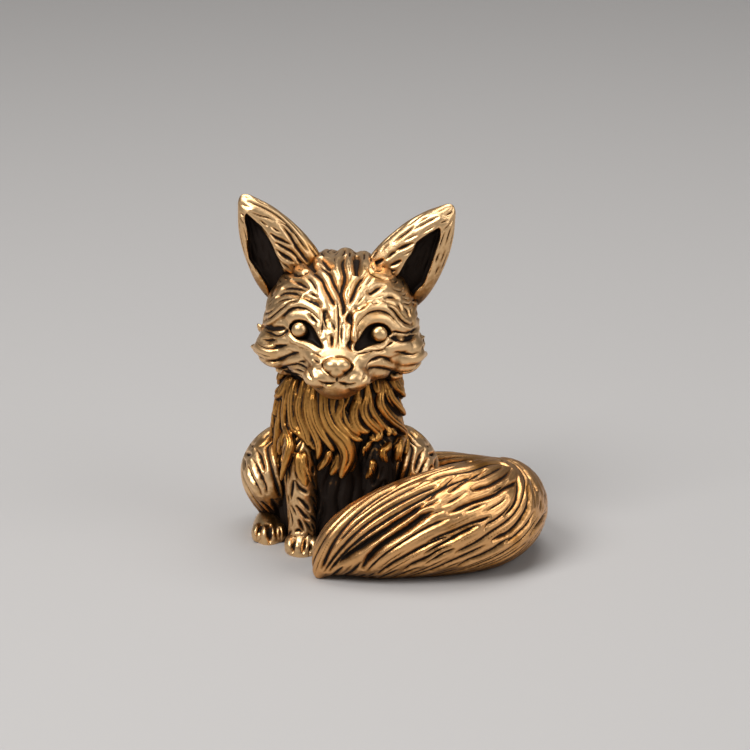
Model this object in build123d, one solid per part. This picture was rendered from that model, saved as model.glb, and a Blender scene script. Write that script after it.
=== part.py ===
from build123d import *
import os
from math import cos, pi, sin

# A sitting fox in cast brass, with its tail curled round its left side to the front. It is built as
# the wax master is: each form is its own piece, and it seats on the piece that carries it.
# The frame: the fox faces -Y, its own left is +X and Z is up. The origin is the centre of the flat
# seat that it rests on. Lengths are millimetres and angles are degrees.
# Every form is a loft of flat facets through closed rings, which keeps so small a part light.

SIDES = {"left": 1, "right": -1}  # the fox's own sides, as signs along X

# Torso: rump, back, chest and the neck stump that the head sits on
torso_height = 19.5
torso_half_width = 7.0
torso_half_depth = 7.3
torso_lean = 2.5  # how far the chest stands in front of the seat's centre
# height, half width, half depth and lean, as shares of those four sizes
torso_shares = [
    (0.00, 0.84, 0.88, 0.00),
    (0.08, 0.96, 0.97, 0.00),
    (0.25, 1.00, 1.00, 0.05),
    (0.45, 0.93, 0.86, 0.45),
    (0.65, 0.86, 0.73, 0.95),
    (0.85, 0.83, 0.68, 1.00),
    (1.00, 0.50, 0.46, 0.80),
]

# Head: skull, cheeks and muzzle, turned a little on the neck
head_height = 12.5
head_half_width = 7.7
head_length = 17.7  # from the back of the skull to the end of the muzzle
head_back = 5.3  # the back of the skull, behind the seat's centre
neck_sink = 2.7  # how far the neck stump stands up in the head
head_base = torso_height - neck_sink  # the chin above the ground
head_roll = 2.3  # the crown leans to the fox's left
head_yaw = -2.0  # the muzzle points to the fox's right
muzzle_rows = 4  # the last rows, which stand close enough as they are
# distance from the back, half width, widest line, rise above it and drop below it
head_shares = [
    (0.000, 0.08, 0.56, 0.06, 0.06),
    (0.025, 0.34, 0.56, 0.21, 0.21),
    (0.095, 0.64, 0.55, 0.35, 0.33),
    (0.220, 0.87, 0.52, 0.45, 0.42),
    (0.400, 0.99, 0.49, 0.51, 0.44),
    (0.560, 1.00, 0.44, 0.54, 0.39),
    (0.680, 0.90, 0.39, 0.51, 0.34),
    (0.760, 0.69, 0.34, 0.42, 0.30),
    (0.820, 0.50, 0.29, 0.32, 0.28),
    (0.890, 0.36, 0.25, 0.21, 0.24),
    (0.960, 0.25, 0.24, 0.13, 0.16),
    (1.000, 0.09, 0.25, 0.05, 0.06),
]

# Cheek tufts: pointed locks that lie along each cheek and stand out at its side
tuft_half_height = 0.95
tuft_half_depth = 1.0
tuft_root_share = 0.55  # of the head's half width, where the locks start on the cheek
tuft_seat_share = 0.86  # of the head's half width, up to which the locks lie on the cheek
tuft_sunk_share = 0.6  # of its half depth, how far a lock is set into the cheek
# height of the root, height and side of the point, and size
tuft_shares = [
    (0.36, 0.46, 1.05, 0.85),
    (0.26, 0.275, 1.13, 1.00),
    (0.16, 0.15, 1.00, 0.90),
]

# Eyes: round beads in almond sockets
eye_radius = 0.8
eye_side_share = 0.50  # of the head's half width
eye_height_share = 0.512  # of the head's height
socket_half_length = 2.1
socket_half_height = 1.15
socket_depth_share = 0.7  # of the bead's radius, so that the bead seats on the socket's floor
socket_inset_share = 0.3  # of its half length, towards the muzzle from the bead
socket_slant = 32.0  # the inner corner is the lower one

# Brow ridges, each an arch from the outer corner of the eye over it and down beside the muzzle
brow_radius = 0.5
brow_half_span = 2.5
brow_rise = 2.4
brow_start = 155.0  # degrees round the eye, counted from the muzzle's side over the top
brow_end = -25.0
brow_steps = 6

# Nose pad, at the end of the muzzle
nose_half_width = 1.3
nose_half_height = 0.98
nose_half_depth = 0.8
nose_back_share = 0.985  # of the head's length, from its back
nose_height_share = 0.318  # of the head's height

# Muzzle pads, at each side under the nose
muzzle_pad_radius = 1.45
muzzle_pad_side_share = 0.17
muzzle_pad_back_share = 0.895
muzzle_pad_height_share = 0.21

# Ears: leaf-shaped cups, open to the front, with locks of fur on the inner side
ear_length = 11.45
ear_half_width = 3.5
ear_half_depth = 1.7
ear_wall = 1.05  # the rim's width around the hollow
ear_hollow_depth = 1.5
ear_hollow_share = 1.2  # of the ear's half depth, the most that the hollow may have
ear_splay = 33.5  # from upright, outwards
ear_side_share = 0.64
ear_back_share = 0.355
ear_height_share = 0.755
ear_sink = 1.6  # the root's depth in the skull
# distance from the root and half width, as shares
ear_shares = [
    (0.00, 0.84),
    (0.13, 0.97),
    (0.27, 1.00),
    (0.44, 0.93),
    (0.64, 0.76),
    (0.80, 0.53),
    (0.91, 0.31),
    (0.97, 0.18),
    (1.00, 0.05),
]
ear_lock_radius = 0.62
ear_lock_front_share = 0.35  # of the ear's half depth, in front of its middle
# where a lock of the ear's fur starts and ends: outwards and from the root, as shares
ear_lock_shares = [
    (-0.72, 0.26, 0.06, 0.42),
    (-0.66, 0.40, 0.04, 0.60),
    (-0.52, 0.56, 0.02, 0.76),
]

# Ruff: overlapping locks that hang from the jaw over the chest
lock_length = 6.4
lock_half_width = 1.12
lock_half_depth = 0.85
lock_sway = 1.3  # how far an outer lock's tip swings to the middle of the chest
lock_odds_share = 0.1  # every second lock is this much longer, and the others shorter
lock_lift_share = 0.4  # of its half depth, how far a lock's tip stands off the chest
lock_counts = [9, 9, 11]  # in each row, from the lowest
lock_fans = [66.0, 86.0, 104.0]  # half of each row's spread round the chest
lock_top_shares = [0.70, 0.83, 0.97]  # of the torso's height, where each row starts
lock_size_shares = [1.00, 1.08, 1.10]
# distance along a lock, width and sway, as shares
lock_shares = [
    (0.00, 0.55, 0.0),
    (0.25, 1.00, 0.7),
    (0.55, 0.95, 0.5),
    (0.82, 0.52, 0.7),
    (1.00, 0.00, 1.4),
]

# Forelegs, straight down from the shoulders, each in a paw
foreleg_height = 12.0
foreleg_half_width = 1.95
foreleg_half_depth = 2.3
foreleg_side = torso_half_width * 0.535  # from the middle of the fox
foreleg_front = torso_half_depth * 0.92  # the wrist's centre in front of the seat's centre
shoulder_set_back = 1.9  # the shoulder behind the wrist
# height, half width, half depth and how far the leg is set back at that height
foreleg_shares = [
    (0.09, 0.72, 0.62, 0.00),
    (0.25, 0.70, 0.62, 0.02),
    (0.45, 0.82, 0.74, 0.15),
    (0.65, 0.95, 0.92, 0.45),
    (0.85, 1.00, 1.00, 0.80),
    (1.00, 0.62, 0.60, 1.00),
]

# Paws, with four toes each
paw_half_width = 1.75
paw_height = 2.3
forepaw_length = 4.4
hind_paw_length = 7.6
paw_ahead_share = 0.55  # of a forepaw's length, in front of the wrist's centre
toe_count = 4
toe_half_width = 0.6
toe_half_length = 1.2
toe_half_height = 0.95
toe_lift_share = 0.8  # of its half height, a toe's centre above the ground
toe_fan_share = 0.35  # of their distance from the paw's middle, how far the outer toes stand back

# Haunches: folded hind legs, grooved like the coat, with the hind paws in front
haunch_height = 10.6
haunch_half_width = 3.4
haunch_half_length = 4.8
haunch_base = 0.3  # above the ground
haunch_side = torso_half_width * 0.943
haunch_front = 0.4  # the haunch's centre in front of the seat's centre
haunch_grooves = 13
groove_share = 0.11  # depth of a groove, of the form that it runs along
# height, size, how far the form moves towards the torso, and how far towards the tail
haunch_shares = [
    (0.00, 0.30, 0.05, 0.40),
    (0.08, 0.52, 0.05, 0.32),
    (0.24, 0.76, 0.02, 0.14),
    (0.42, 0.94, -0.02, 0.03),
    (0.60, 1.00, 0.00, 0.00),
    (0.78, 0.86, 0.10, 0.00),
    (0.92, 0.55, 0.24, 0.04),
    (1.00, 0.10, 0.34, 0.10),
]
hind_paw_out = 0.55  # the paw's middle outside the haunch's
hind_paw_ahead = 0.5  # the toes' ends in front of the haunch

# Fur of the coat: ridges that run over the head from the brow, and in gentle waves down the back
coat_groove_share = 0.055  # depth of a groove, of the form that it runs along
back_ridges = 14
crown_ridges = 10
back_sway = 4.0  # how far round the back the ridges swing to each side
muzzle_bare_share = 0.80  # of the head's length from its back, where the ridges have run out
brow_fade_share = 0.20  # of the head's length, over which they run out
neck_fade_share = 0.35  # of the torso's height, over which they run out to the neck

# Tail: a full brush, from the back of the rump round the left haunch to a point in front
tail_radius = 5.4
tail_gap = 0.5  # between the haunch and a full round of the brush beside it
tail_span = haunch_side + haunch_half_width + tail_gap + tail_radius  # its bend, from the fox's middle
tail_front = foreleg_front + forepaw_length * paw_ahead_share + tail_radius  # its point, against the paws
tail_flat = 0.3  # depth of the flat that it rests on
tail_grooves = 14
tail_twist = -230.0  # how far the grooves wind round the brush, so that they climb from its point
# side, front, radius and turn of the grooves along the centre line, as shares of those sizes
tail_shares = [
    (0.16, -0.41, 0.36, 0.00),
    (0.38, -0.46, 0.48, 0.03),
    (0.62, -0.39, 0.57, 0.06),
    (0.84, -0.19, 0.63, 0.10),
    (0.97, 0.10, 0.74, 0.16),
    (1.00, 0.42, 0.89, 0.24),
    (0.91, 0.68, 0.99, 0.34),
    (0.75, 0.80, 1.00, 0.46),
    (0.57, 0.865, 0.955, 0.59),
    (0.41, 0.90, 0.89, 0.70),
    (0.27, 0.93, 0.81, 0.79),
    (0.13, 0.95, 0.70, 0.87),
    (0.02, 0.97, 0.56, 0.92),
    (-0.06, 0.985, 0.38, 0.96),
    (-0.11, 0.995, 0.20, 0.98),
    (-0.13, 1.00, 0.06, 1.00),
]

# Counts of points and steps in the facets
plain_points = 18
slim_points = 12
bead_points = 10
fine_points = 3  # on each ridge of a grooved form
toe_points = 8
lock_points = 6
smooth_steps = 2


def smooth_rows(rows, steps=smooth_steps):
    """More rows, on a smooth curve through those given."""
    ends = [rows[0], *rows, rows[-1]]
    made = []
    for before, start, end, after in zip(ends, ends[1:], ends[2:], ends[3:]):
        for step in range(steps):
            t = step / steps
            made.append(
                [
                    b + t * ((c - a) + t * ((2 * a - 5 * b + 4 * c - d) + t * (3 * (b - c) + d - a))) / 2
                    for a, b, c, d in zip(before, start, end, after)
                ]
            )
    return [*made, list(rows[-1])]


def ring(plane, half_width, rise, drop=None, points=plain_points, grooves=0, turn=0.0):
    """Points of a closed curve: half an ellipse above its widest line, and half of another below.

    With grooves, rounded ridges run round it, and turn moves them, in degrees.
    """
    drop = rise if drop is None else drop
    made = []
    for step in range(points):
        angle = 2 * pi * step / points
        size = 1 - groove_share * (1 - abs(sin(grooves * angle / 2))) if grooves else 1
        angle += turn * pi / 180
        height = rise if sin(angle) > 0 else drop
        made.append(plane.from_local_coords((size * half_width * cos(angle), size * height * sin(angle))))
    return made


def furred_ring(plane, half_width, rise, drop, ridges, fur, sway=0.0):
    """Points of a closed curve with ridges of fur over its upper half, and a plain lower half.

    Fur is the grooves' depth, from none at 0 to full at 1, and sway moves the ridges, in degrees.
    """
    made = []
    for step in range(2 * ridges):
        angle = pi * step / (2 * ridges)
        size = 1 - coat_groove_share * fur * (step % 2)
        angle += sway * sin(2 * angle) * pi / 180
        made.append(plane.from_local_coords((size * half_width * cos(angle), size * rise * sin(angle))))
    plain = ring(plane, half_width, rise, drop)
    return made + plain[plain_points // 2 :]


def facet_loft(rings):
    """A closed solid of flat facets through rings of equally many points. An end may be one point."""
    faces = []
    for lower, upper in zip(rings, rings[1:]):
        count = max(len(lower), len(upper))
        for k in range(count):
            following = (k + 1) % count
            if len(upper) > 1:
                faces.append((lower[k % len(lower)], upper[following], upper[k]))
            if len(lower) > 1:
                faces.append((lower[k], lower[following], upper[following % len(upper)]))
    faces += [end for end in (rings[0], rings[-1]) if len(end) > 1]
    return Solid(Shell([Face(Wire.make_polygon(corners)) for corners in faces]))


def facet_egg(place, half_width, half_depth, half_height, points=slim_points):
    """An egg of flat facets about a point."""
    levels = points // 2
    rings = [[Vector(*place) - Vector(0, 0, half_height)]]
    for level in range(1, levels):
        angle = pi * level / levels
        plane = Plane(Vector(*place) - Vector(0, 0, half_height * cos(angle)))
        rings.append(ring(plane, half_width * sin(angle), half_depth * sin(angle), points=points))
    rings.append([Vector(*place) + Vector(0, 0, half_height)])
    return facet_loft(rings)


def tapered_lock(path, sizes, outward, points=lock_points):
    """A lock of fur: its centre line, and its half width and half depth at each point.

    Outward is the direction that its depth lies in, one for the lock or one for each point.
    """
    rings = []
    for index, (place, (half_width, half_depth)) in enumerate(zip(path, sizes)):
        ahead = path[min(index + 1, len(path) - 1)] - path[max(index - 1, 0)]
        facing = outward[index] if isinstance(outward, list) else outward
        if half_width:
            section = Plane(place, x_dir=ahead.cross(facing), z_dir=ahead)
            crest = 180 / points
            rings.append(ring(section, half_width, half_depth, points=points, turn=crest))
        else:
            rings.append([place])
    return facet_loft(rings)


def above_ground(form):
    """The part of a form that stands above the surface that the fox rests on."""
    return split(form, bisect_by=Plane.XY, keep=Keep.TOP)


def turned_with_head(form):
    """A form of the upright head, after the head is turned on the neck."""
    neck = (0, -torso_lean, head_base)
    about_neck = Location(neck) * Rotation(0, head_roll, head_yaw) * Location(neck).inverse()
    return about_neck * form


def head_place(side_share, back_share, height_share):
    """A point of the upright head, from shares of its sizes."""
    return Vector(
        head_half_width * side_share,
        head_back - head_length * back_share,
        head_base + head_height * height_share,
    )


def on_face(side_share, height_share):
    """The foremost point of the upright skull at a side and a height, given as shares.

    A point beside the skull is level with the nearest part of it.
    """

    def reach(row):
        _, width_share, middle_share, rise_share, drop_share = row
        above = height_share - middle_share
        return (side_share / width_share) ** 2 + (above / (rise_share if above > 0 else drop_share)) ** 2

    rows = smooth_rows(head_shares, 8)
    nearest = min(rows, key=reach)
    row = next((row for row in reversed(rows) if reach(row) < 1), nearest)
    return head_place(side_share, row[0], height_share)


def make_torso():
    rings = []
    for height_share, width_share, depth_share, lean_share in torso_shares:
        level = Plane((0, -torso_lean * lean_share, torso_height * height_share))
        half_width, half_depth = torso_half_width * width_share, torso_half_depth * depth_share
        fur = min(1, (1 - height_share) / neck_fade_share)
        sway = back_sway * sin(2 * pi * height_share)
        rings.append(furred_ring(level, half_width, half_depth, half_depth, back_ridges, fur, sway))
    return facet_loft(rings)


def make_skull():
    rings = []
    rows = smooth_rows(head_shares[:-muzzle_rows]) + head_shares[-muzzle_rows:]
    for back_share, width_share, middle_share, rise_share, drop_share in rows:
        section = Plane(head_place(0, back_share, middle_share), x_dir=(-1, 0, 0), z_dir=(0, 1, 0))
        rise, drop = head_height * rise_share, head_height * drop_share
        fur = max(0, min(1, (muzzle_bare_share - back_share) / brow_fade_share))
        rings.append(furred_ring(section, head_half_width * width_share, rise, drop, crown_ridges, fur))
    return facet_loft(rings)


def make_tuft(side, root_height_share, tip_height_share, tip_side_share, size_share):
    """A lock of the cheek, from its root on the face to its free point."""
    path, sizes = [], []
    for along in (0.0, 0.25, 0.5, 0.75, 1.0):
        side_share = tuft_root_share + (tip_side_share - tuft_root_share) * along
        height_share = root_height_share + (tip_height_share - root_height_share) * along**2
        seat = on_face(side * min(side_share, tuft_seat_share), height_share)
        sunk = tuft_half_depth * tuft_sunk_share
        path.append(Vector(side * head_half_width * side_share, seat.Y + sunk, seat.Z))
        full = size_share * min(1, 0.55 + 1.5 * along) * (1 - along**3)
        sizes.append((tuft_half_height * full, tuft_half_depth * full))
    return tapered_lock(path, sizes, Vector(0, 1, 0))


def make_brow(side):
    path, sizes = [], []
    for step in range(brow_steps):
        along = step / (brow_steps - 1)
        angle = (brow_start + (brow_end - brow_start) * along) * pi / 180
        side_share = eye_side_share - brow_half_span * cos(angle) / head_half_width
        height_share = eye_height_share + brow_rise * sin(angle) / head_height
        path.append(on_face(side * side_share, height_share))
        radius = brow_radius * (1.1 - abs(2 * along - 1) ** 3)
        sizes.append((radius, radius))
    return tapered_lock(path, sizes, Vector(0, 1, 0))


def make_socket(side):
    middle = (-side * socket_half_length * socket_inset_share, 0, 0)
    egg = facet_egg(middle, socket_half_length, eye_radius * socket_depth_share, socket_half_height)
    eye = on_face(side * eye_side_share, eye_height_share)
    return Location(eye) * Rotation(0, -side * socket_slant, 0) * egg


def make_head():
    head = make_skull()
    for side in SIDES.values():
        pad = head_place(side * muzzle_pad_side_share, muzzle_pad_back_share, muzzle_pad_height_share)
        head += facet_egg(pad, muzzle_pad_radius, muzzle_pad_radius, muzzle_pad_radius)
        head += make_brow(side)
        for tuft in tuft_shares:
            head += make_tuft(side, *tuft)
    for side in SIDES.values():
        head -= make_socket(side)
    return head


def ear_row(along_share):
    """Half width and half depth of an ear at a share of its length."""
    _, width_share = min(smooth_rows(ear_shares, 8), key=lambda row: abs(row[0] - along_share))
    return ear_half_width * width_share, ear_half_depth * (1 + width_share) / 2 * min(1, 2.5 * width_share)


def make_ear(side):
    """An ear of the upright head: a leaf-shaped cup on a root in the skull, open to the front."""
    outer, hollow = [], []
    for along_share, width_share in smooth_rows(ear_shares):
        height = ear_length * along_share
        half_width, half_depth = ear_row(along_share)
        outer.append(ring(Plane((0, 0, height)), half_width, half_depth, points=slim_points))
        if half_width - ear_wall > 0.2 * ear_wall:
            front = Plane((0, -half_depth, height))
            depth = min(ear_hollow_depth, half_depth * ear_hollow_share)
            hollow.append(ring(front, half_width - ear_wall, depth, points=slim_points))
    ear = facet_loft(outer) - facet_loft(hollow)
    for start_across, start_along, end_across, end_along in ear_lock_shares:
        path, sizes = [], []
        for along in (0.0, 0.35, 0.7, 1.0):
            height_share = start_along + (end_along - start_along) * along
            half_width, half_depth = ear_row(height_share)
            across = side * half_width * (start_across + (end_across - start_across) * along)
            path.append(Vector(across, -half_depth * ear_lock_front_share, ear_length * height_share))
            sizes.append((ear_lock_radius * (1 - along**2), ear_lock_radius * (1 - along**2)))
        ear += tapered_lock(path, sizes, Vector(0, 1, 0))
    root = head_place(side * ear_side_share, ear_back_share, ear_height_share)
    return Location(root) * Rotation(0, side * ear_splay, 0) * Location((0, 0, -ear_sink)) * ear


def make_eye(side):
    place = on_face(side * eye_side_share, eye_height_share)
    return facet_egg(place, eye_radius, eye_radius, eye_radius, points=bead_points)


def make_nose():
    place = head_place(0, nose_back_share, nose_height_share)
    return facet_egg(place, nose_half_width, nose_half_depth, nose_half_height)


def chest_row(height_share):
    """Half width, half depth and lean of the torso at a share of its height."""
    rows = smooth_rows(torso_shares, 8)
    _, width_share, depth_share, lean_share = min(rows, key=lambda row: abs(row[0] - height_share))
    return torso_half_width * width_share, torso_half_depth * depth_share, torso_lean * lean_share


def make_lock(angle, top_share, size_share, sway):
    """A lock of the ruff that lies on the chest, angle degrees from its middle."""
    path, sizes, outward = [], [], []
    for along_share, width_share, sway_share in lock_shares:
        height_share = top_share - lock_length * size_share * along_share / torso_height
        half_width, half_depth, lean = chest_row(height_share)
        swung = angle * pi / 180 + sway * lock_sway * sway_share / half_width
        stand_off = 1 + lock_lift_share * lock_half_depth * along_share / half_width
        outward.append(Vector(sin(swung), -cos(swung), 0))
        path.append(
            Vector(
                half_width * stand_off * sin(swung),
                -lean - half_depth * stand_off * cos(swung),
                torso_height * height_share,
            )
        )
        full = width_share * size_share
        sizes.append((lock_half_width * full, lock_half_depth * full))
    return tapered_lock(path, sizes, outward)


def make_ruff():
    locks = []
    rows = zip(lock_top_shares, lock_counts, lock_fans, lock_size_shares)
    for top_share, count, half_fan, size_share in rows:
        for number in range(count):
            spread = 2 * number / (count - 1) - 1
            odds = 1 + lock_odds_share * (-1) ** number
            locks.append(make_lock(half_fan * spread, top_share, size_share * odds, -spread))
    return locks[0].fuse(*locks[1:])


def make_foreleg(side):
    rings = []
    for height_share, width_share, depth_share, back_share in smooth_rows(foreleg_shares):
        place = (side * foreleg_side, shoulder_set_back * back_share - foreleg_front)
        level = Plane((*place, foreleg_height * height_share))
        half_width, half_depth = foreleg_half_width * width_share, foreleg_half_depth * depth_share
        rings.append(ring(level, half_width, half_depth, points=slim_points))
    return facet_loft(rings)


def make_paw(side, front, length):
    """A paw flat on the ground, with its toes' ends at front."""
    middle = front + length / 2
    paw = facet_egg((side, middle, 0), paw_half_width, length / 2, paw_height)
    for toe in range(toe_count):
        across = (2 * toe / (toe_count - 1) - 1) * (paw_half_width - toe_half_width)
        ahead = front + toe_half_length + abs(across) * toe_fan_share
        place = (side + across, ahead, toe_half_height * toe_lift_share)
        paw += facet_egg(place, toe_half_width, toe_half_length, toe_half_height, points=toe_points)
    return above_ground(paw)


def make_haunch(side):
    rings = []
    for height_share, size_share, inward_share, tailward_share in smooth_rows(haunch_shares):
        middle = side * (haunch_side - haunch_half_width * inward_share)
        front = haunch_front - haunch_half_length * tailward_share
        level = Plane((middle, -front, haunch_base + haunch_height * height_share))
        half_width, half_length = haunch_half_width * size_share, haunch_half_length * size_share
        points = haunch_grooves * fine_points
        rings.append(ring(level, half_width, half_length, points=points, grooves=haunch_grooves))
    return facet_loft(rings)


def make_tail():
    path, radii, turns = [], [], []
    for side_share, front_share, radius_share, turn_share in smooth_rows(tail_shares):
        radii.append(tail_radius * radius_share)
        path.append(Vector(tail_span * side_share, -tail_front * front_share, radii[-1] - tail_flat))
        turns.append(tail_twist * turn_share)
    rings = []
    for index, (place, radius, turn) in enumerate(zip(path, radii, turns)):
        ahead = path[min(index + 1, len(path) - 1)] - path[max(index - 1, 0)]
        section = Plane(place, x_dir=ahead.cross(Vector(0, 0, 1)), z_dir=ahead)
        points = tail_grooves * fine_points
        rings.append(ring(section, radius, radius, points=points, grooves=tail_grooves, turn=turn))
    return above_ground(facet_loft(rings))


def make_fox():
    """Each piece by name, cut to its seat on the pieces that carry it."""
    torso = make_torso()
    head = turned_with_head(make_head())
    ruff = make_ruff() - torso - head
    pieces = {"torso": torso, "head": head - torso, "ruff": ruff}
    pieces["nose"] = turned_with_head(make_nose()) - head
    for name, side in SIDES.items():
        pieces["ear_" + name] = turned_with_head(make_ear(side)) - head
        pieces["eye_" + name] = turned_with_head(make_eye(side)) - head
        foreleg = make_foreleg(side) - torso - ruff
        pieces["foreleg_" + name] = foreleg
        front = -foreleg_front - forepaw_length * paw_ahead_share
        pieces["forepaw_" + name] = make_paw(side * foreleg_side, front, forepaw_length) - torso - foreleg
        haunch = make_haunch(side) - torso - ruff
        pieces["haunch_" + name] = haunch
        front = -haunch_front - haunch_half_length - hind_paw_ahead
        hind_paw = make_paw(side * (haunch_side + hind_paw_out), front, hind_paw_length)
        pieces["hind_paw_" + name] = hind_paw - torso - haunch
    pieces["tail"] = make_tail() - torso - pieces["haunch_left"] - pieces["forepaw_left"]
    return pieces


os.makedirs("parts", exist_ok=True)
for piece_name, piece in make_fox().items():
    export_step(piece, f"parts/{piece_name}.step")
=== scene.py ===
"""Looks of a small antiqued brass fox that sits with its head up and its tail curled round its feet.

Every form is built in millimetres in the part's own frame: the fox faces -Y, its own left is +X and Z is
up. The forms of a piece are made one skin of small squares, raised and carved along lines, darkened with
patina where polish doesn't reach, and darkened with painted shade on undersides and in closed-in places.
Lines on the front are laid through the camera's view, as points of its frame.
"""

import logging
import math
import random
from collections.abc import Callable, Iterable, Sequence
from dataclasses import dataclass
from enum import Enum

import bmesh
import bpy
import numpy as np
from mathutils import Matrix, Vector
from mathutils.bvhtree import BVHTree
from mathutils.kdtree import KDTree


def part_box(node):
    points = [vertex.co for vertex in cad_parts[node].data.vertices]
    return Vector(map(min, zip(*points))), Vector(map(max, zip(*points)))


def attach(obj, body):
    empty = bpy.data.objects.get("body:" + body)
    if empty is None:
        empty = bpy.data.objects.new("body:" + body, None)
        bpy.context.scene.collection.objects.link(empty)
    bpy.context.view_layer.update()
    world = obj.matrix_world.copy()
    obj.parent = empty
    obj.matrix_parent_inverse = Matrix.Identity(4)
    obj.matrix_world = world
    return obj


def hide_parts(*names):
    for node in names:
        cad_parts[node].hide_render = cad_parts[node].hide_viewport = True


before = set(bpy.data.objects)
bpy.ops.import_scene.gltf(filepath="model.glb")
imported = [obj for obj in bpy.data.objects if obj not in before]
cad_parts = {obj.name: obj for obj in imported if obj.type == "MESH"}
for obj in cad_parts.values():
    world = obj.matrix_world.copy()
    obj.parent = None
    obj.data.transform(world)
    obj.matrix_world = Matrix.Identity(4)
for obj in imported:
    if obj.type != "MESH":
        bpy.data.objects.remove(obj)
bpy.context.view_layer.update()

log = logging.getLogger("fox")

Pair = tuple[float, float]
Triple = tuple[float, float, float]
Colour = tuple[float, float, float, float]
Rows = tuple[tuple[float, ...], ...]
Flow = Callable[[np.ndarray, np.ndarray], np.ndarray]  # places and outward directions to the fur's way
Kept = Callable[[np.ndarray, np.ndarray], bool]  # whether a place with its outward direction is filled

METRES = 0.001  # of a millimetre
FINE = 1
SEED = 11
GOLDEN_TURN = 2.39996  # the angle that spreads rays evenly round a direction
OFF_SKIN = 0.12  # where rays start over the skin, so that they don't meet their own square
TINY = 1e-9  # stands in for a length of nothing in a division
WELD = 1e-4  # corners nearer than this are one


class Slot(Enum):
    """The record's material slots."""

    COAT = "coat_brass"
    RUFF = "ruff_brass"
    TAIL = "tail_brass"
    BRIGHT = "bright_brass"


@dataclass(frozen=True)
class Line:
    """A carved or raised line: its half width and its depth or rise in millimetres, and its points."""

    half_width: float
    depth: float
    points: tuple[Pair, ...]


@dataclass(frozen=True)
class Trail:
    """A line that lies on a form: its places and the form's outward directions there."""

    places: np.ndarray
    outward: np.ndarray

    def length(self) -> float:
        """How long it is."""
        return np.linalg.norm(np.diff(self.places, axis=0), axis=1).sum()


Groove = tuple[Trail | None, float, float]  # a trail with its half width and depth


@dataclass(frozen=True)
class Strands:
    """Strands of fur: the distance between them and their greatest length, and how they are carved."""

    spacing: float = 0.0
    longest: float = 0.0
    half_width: float = 0.0
    depth: Pair = (0.0, 0.0)  # the least and the greatest

    def grooves(self, trails: Iterable[Trail], draw: random.Random) -> list[Groove]:
        """Grooves of varied depth along trails.

        Args:
            trails: The trails.
            draw: The source of its choices.

        Returns:
            The grooves, ready to carve.
        """
        return [(trail, self.half_width, draw.uniform(*self.depth)) for trail in trails]


def unit(rows: np.ndarray) -> np.ndarray:
    """Vectors of length one."""
    return rows / np.maximum(np.linalg.norm(rows, axis=-1, keepdims=True), TINY)


def smooth_rows(rows: Sequence[Sequence[float]], steps: int) -> np.ndarray:
    """More rows, on a smooth curve through those given.

    Args:
        rows: Rows of numbers.
        steps: Rows made from each one given.

    Returns:
        The rows as an array.
    """
    table = np.array(rows, float)
    ends = np.vstack([table[:1], table, table[-1:]])
    share = np.arange(steps)[:, None] / steps
    made = []
    for a, b, c, d in zip(ends, ends[1:], ends[2:], ends[3:]):
        curve = (c - a) + share * ((2 * a - 5 * b + 4 * c - d) + share * (3 * (b - c) + d - a))
        made.append(b + share * curve / 2)
    return np.vstack([*made, table[-1:]])


@dataclass(frozen=True)
class StudioView:
    """The camera as it stands in the part's frame, in millimetres and degrees."""

    elevation: float = 18.0
    distance: float = 350.0
    target: Triple = (3.5, 0.0, 16.05)
    focal: float = 3500.0  # in the frame's own points
    side: float = 750.0
    sensor: float = 36.0

    def axes(self) -> tuple[np.ndarray, np.ndarray, np.ndarray]:
        """The directions to the right, up and ahead."""
        angle = math.radians(self.elevation)
        ahead = np.array([0.0, math.cos(angle), -math.sin(angle)])
        return np.array([1.0, 0.0, 0.0]), np.array([0.0, math.sin(angle), math.cos(angle)]), ahead

    def eye(self) -> np.ndarray:
        """The camera's place."""
        return np.array(self.target) - self.distance * self.axes()[2]

    def aim(self, across: float, down: float) -> tuple[np.ndarray, np.ndarray]:
        """The line of sight through a point of the frame, as a place and a direction."""
        right, up, ahead = self.axes()
        middle = self.side / 2
        sight = ahead * self.focal + right * (across - middle) - up * (down - middle)
        return self.eye(), sight / np.linalg.norm(sight)

    def seen(self, places: np.ndarray) -> np.ndarray:
        """Where places show in the frame, one row of two for each."""
        right, up, ahead = self.axes()
        offset = places - self.eye()
        depth = offset @ ahead
        middle = self.side / 2
        return np.stack(
            [middle + self.focal * (offset @ right) / depth, middle - self.focal * (offset @ up) / depth], 1
        )


VIEW = StudioView()


def rolled(rings: np.ndarray) -> bmesh.types.BMesh:
    """A closed form through rings of equally many places, with both ends drawn to their middles.

    Args:
        rings: Places, by ring and by step round it.

    Returns:
        The form.
    """
    columns = rings.shape[1]
    first, last = (ring.mean(1, keepdims=True).repeat(columns, 1) for ring in (rings[:1], rings[-1:]))
    rings = np.concatenate([first, rings, last])
    rows = rings.shape[0] - 1
    form = bmesh.new()
    bmesh.ops.create_grid(form, x_segments=columns, y_segments=rows, size=1.0)
    for corner in form.verts:
        column = round((corner.co.x + 1) / 2 * columns) % columns
        row = round((corner.co.y + 1) / 2 * rows)
        corner.co = Vector(rings[row, column])
    bmesh.ops.remove_doubles(form, verts=form.verts, dist=WELD)
    bmesh.ops.recalc_face_normals(form, faces=form.faces)
    return form


def oval_ring(
    middle: np.ndarray, across: np.ndarray, up: np.ndarray, drop: float = 1.0, points: int = 40
) -> np.ndarray:
    """Places on an oval.

    Args:
        middle: Its middle.
        across: From the middle to its side.
        up: From the middle to its top.
        drop: Reach below the middle, as a share of the reach above it.
        points: How many places.

    Returns:
        The places, one row each.
    """
    angles = np.arange(points) * 2 * math.pi / points
    rise = np.where(np.sin(angles) < 0, drop, 1.0) * np.sin(angles)
    return middle + np.cos(angles)[:, None] * across + rise[:, None] * up


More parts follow.
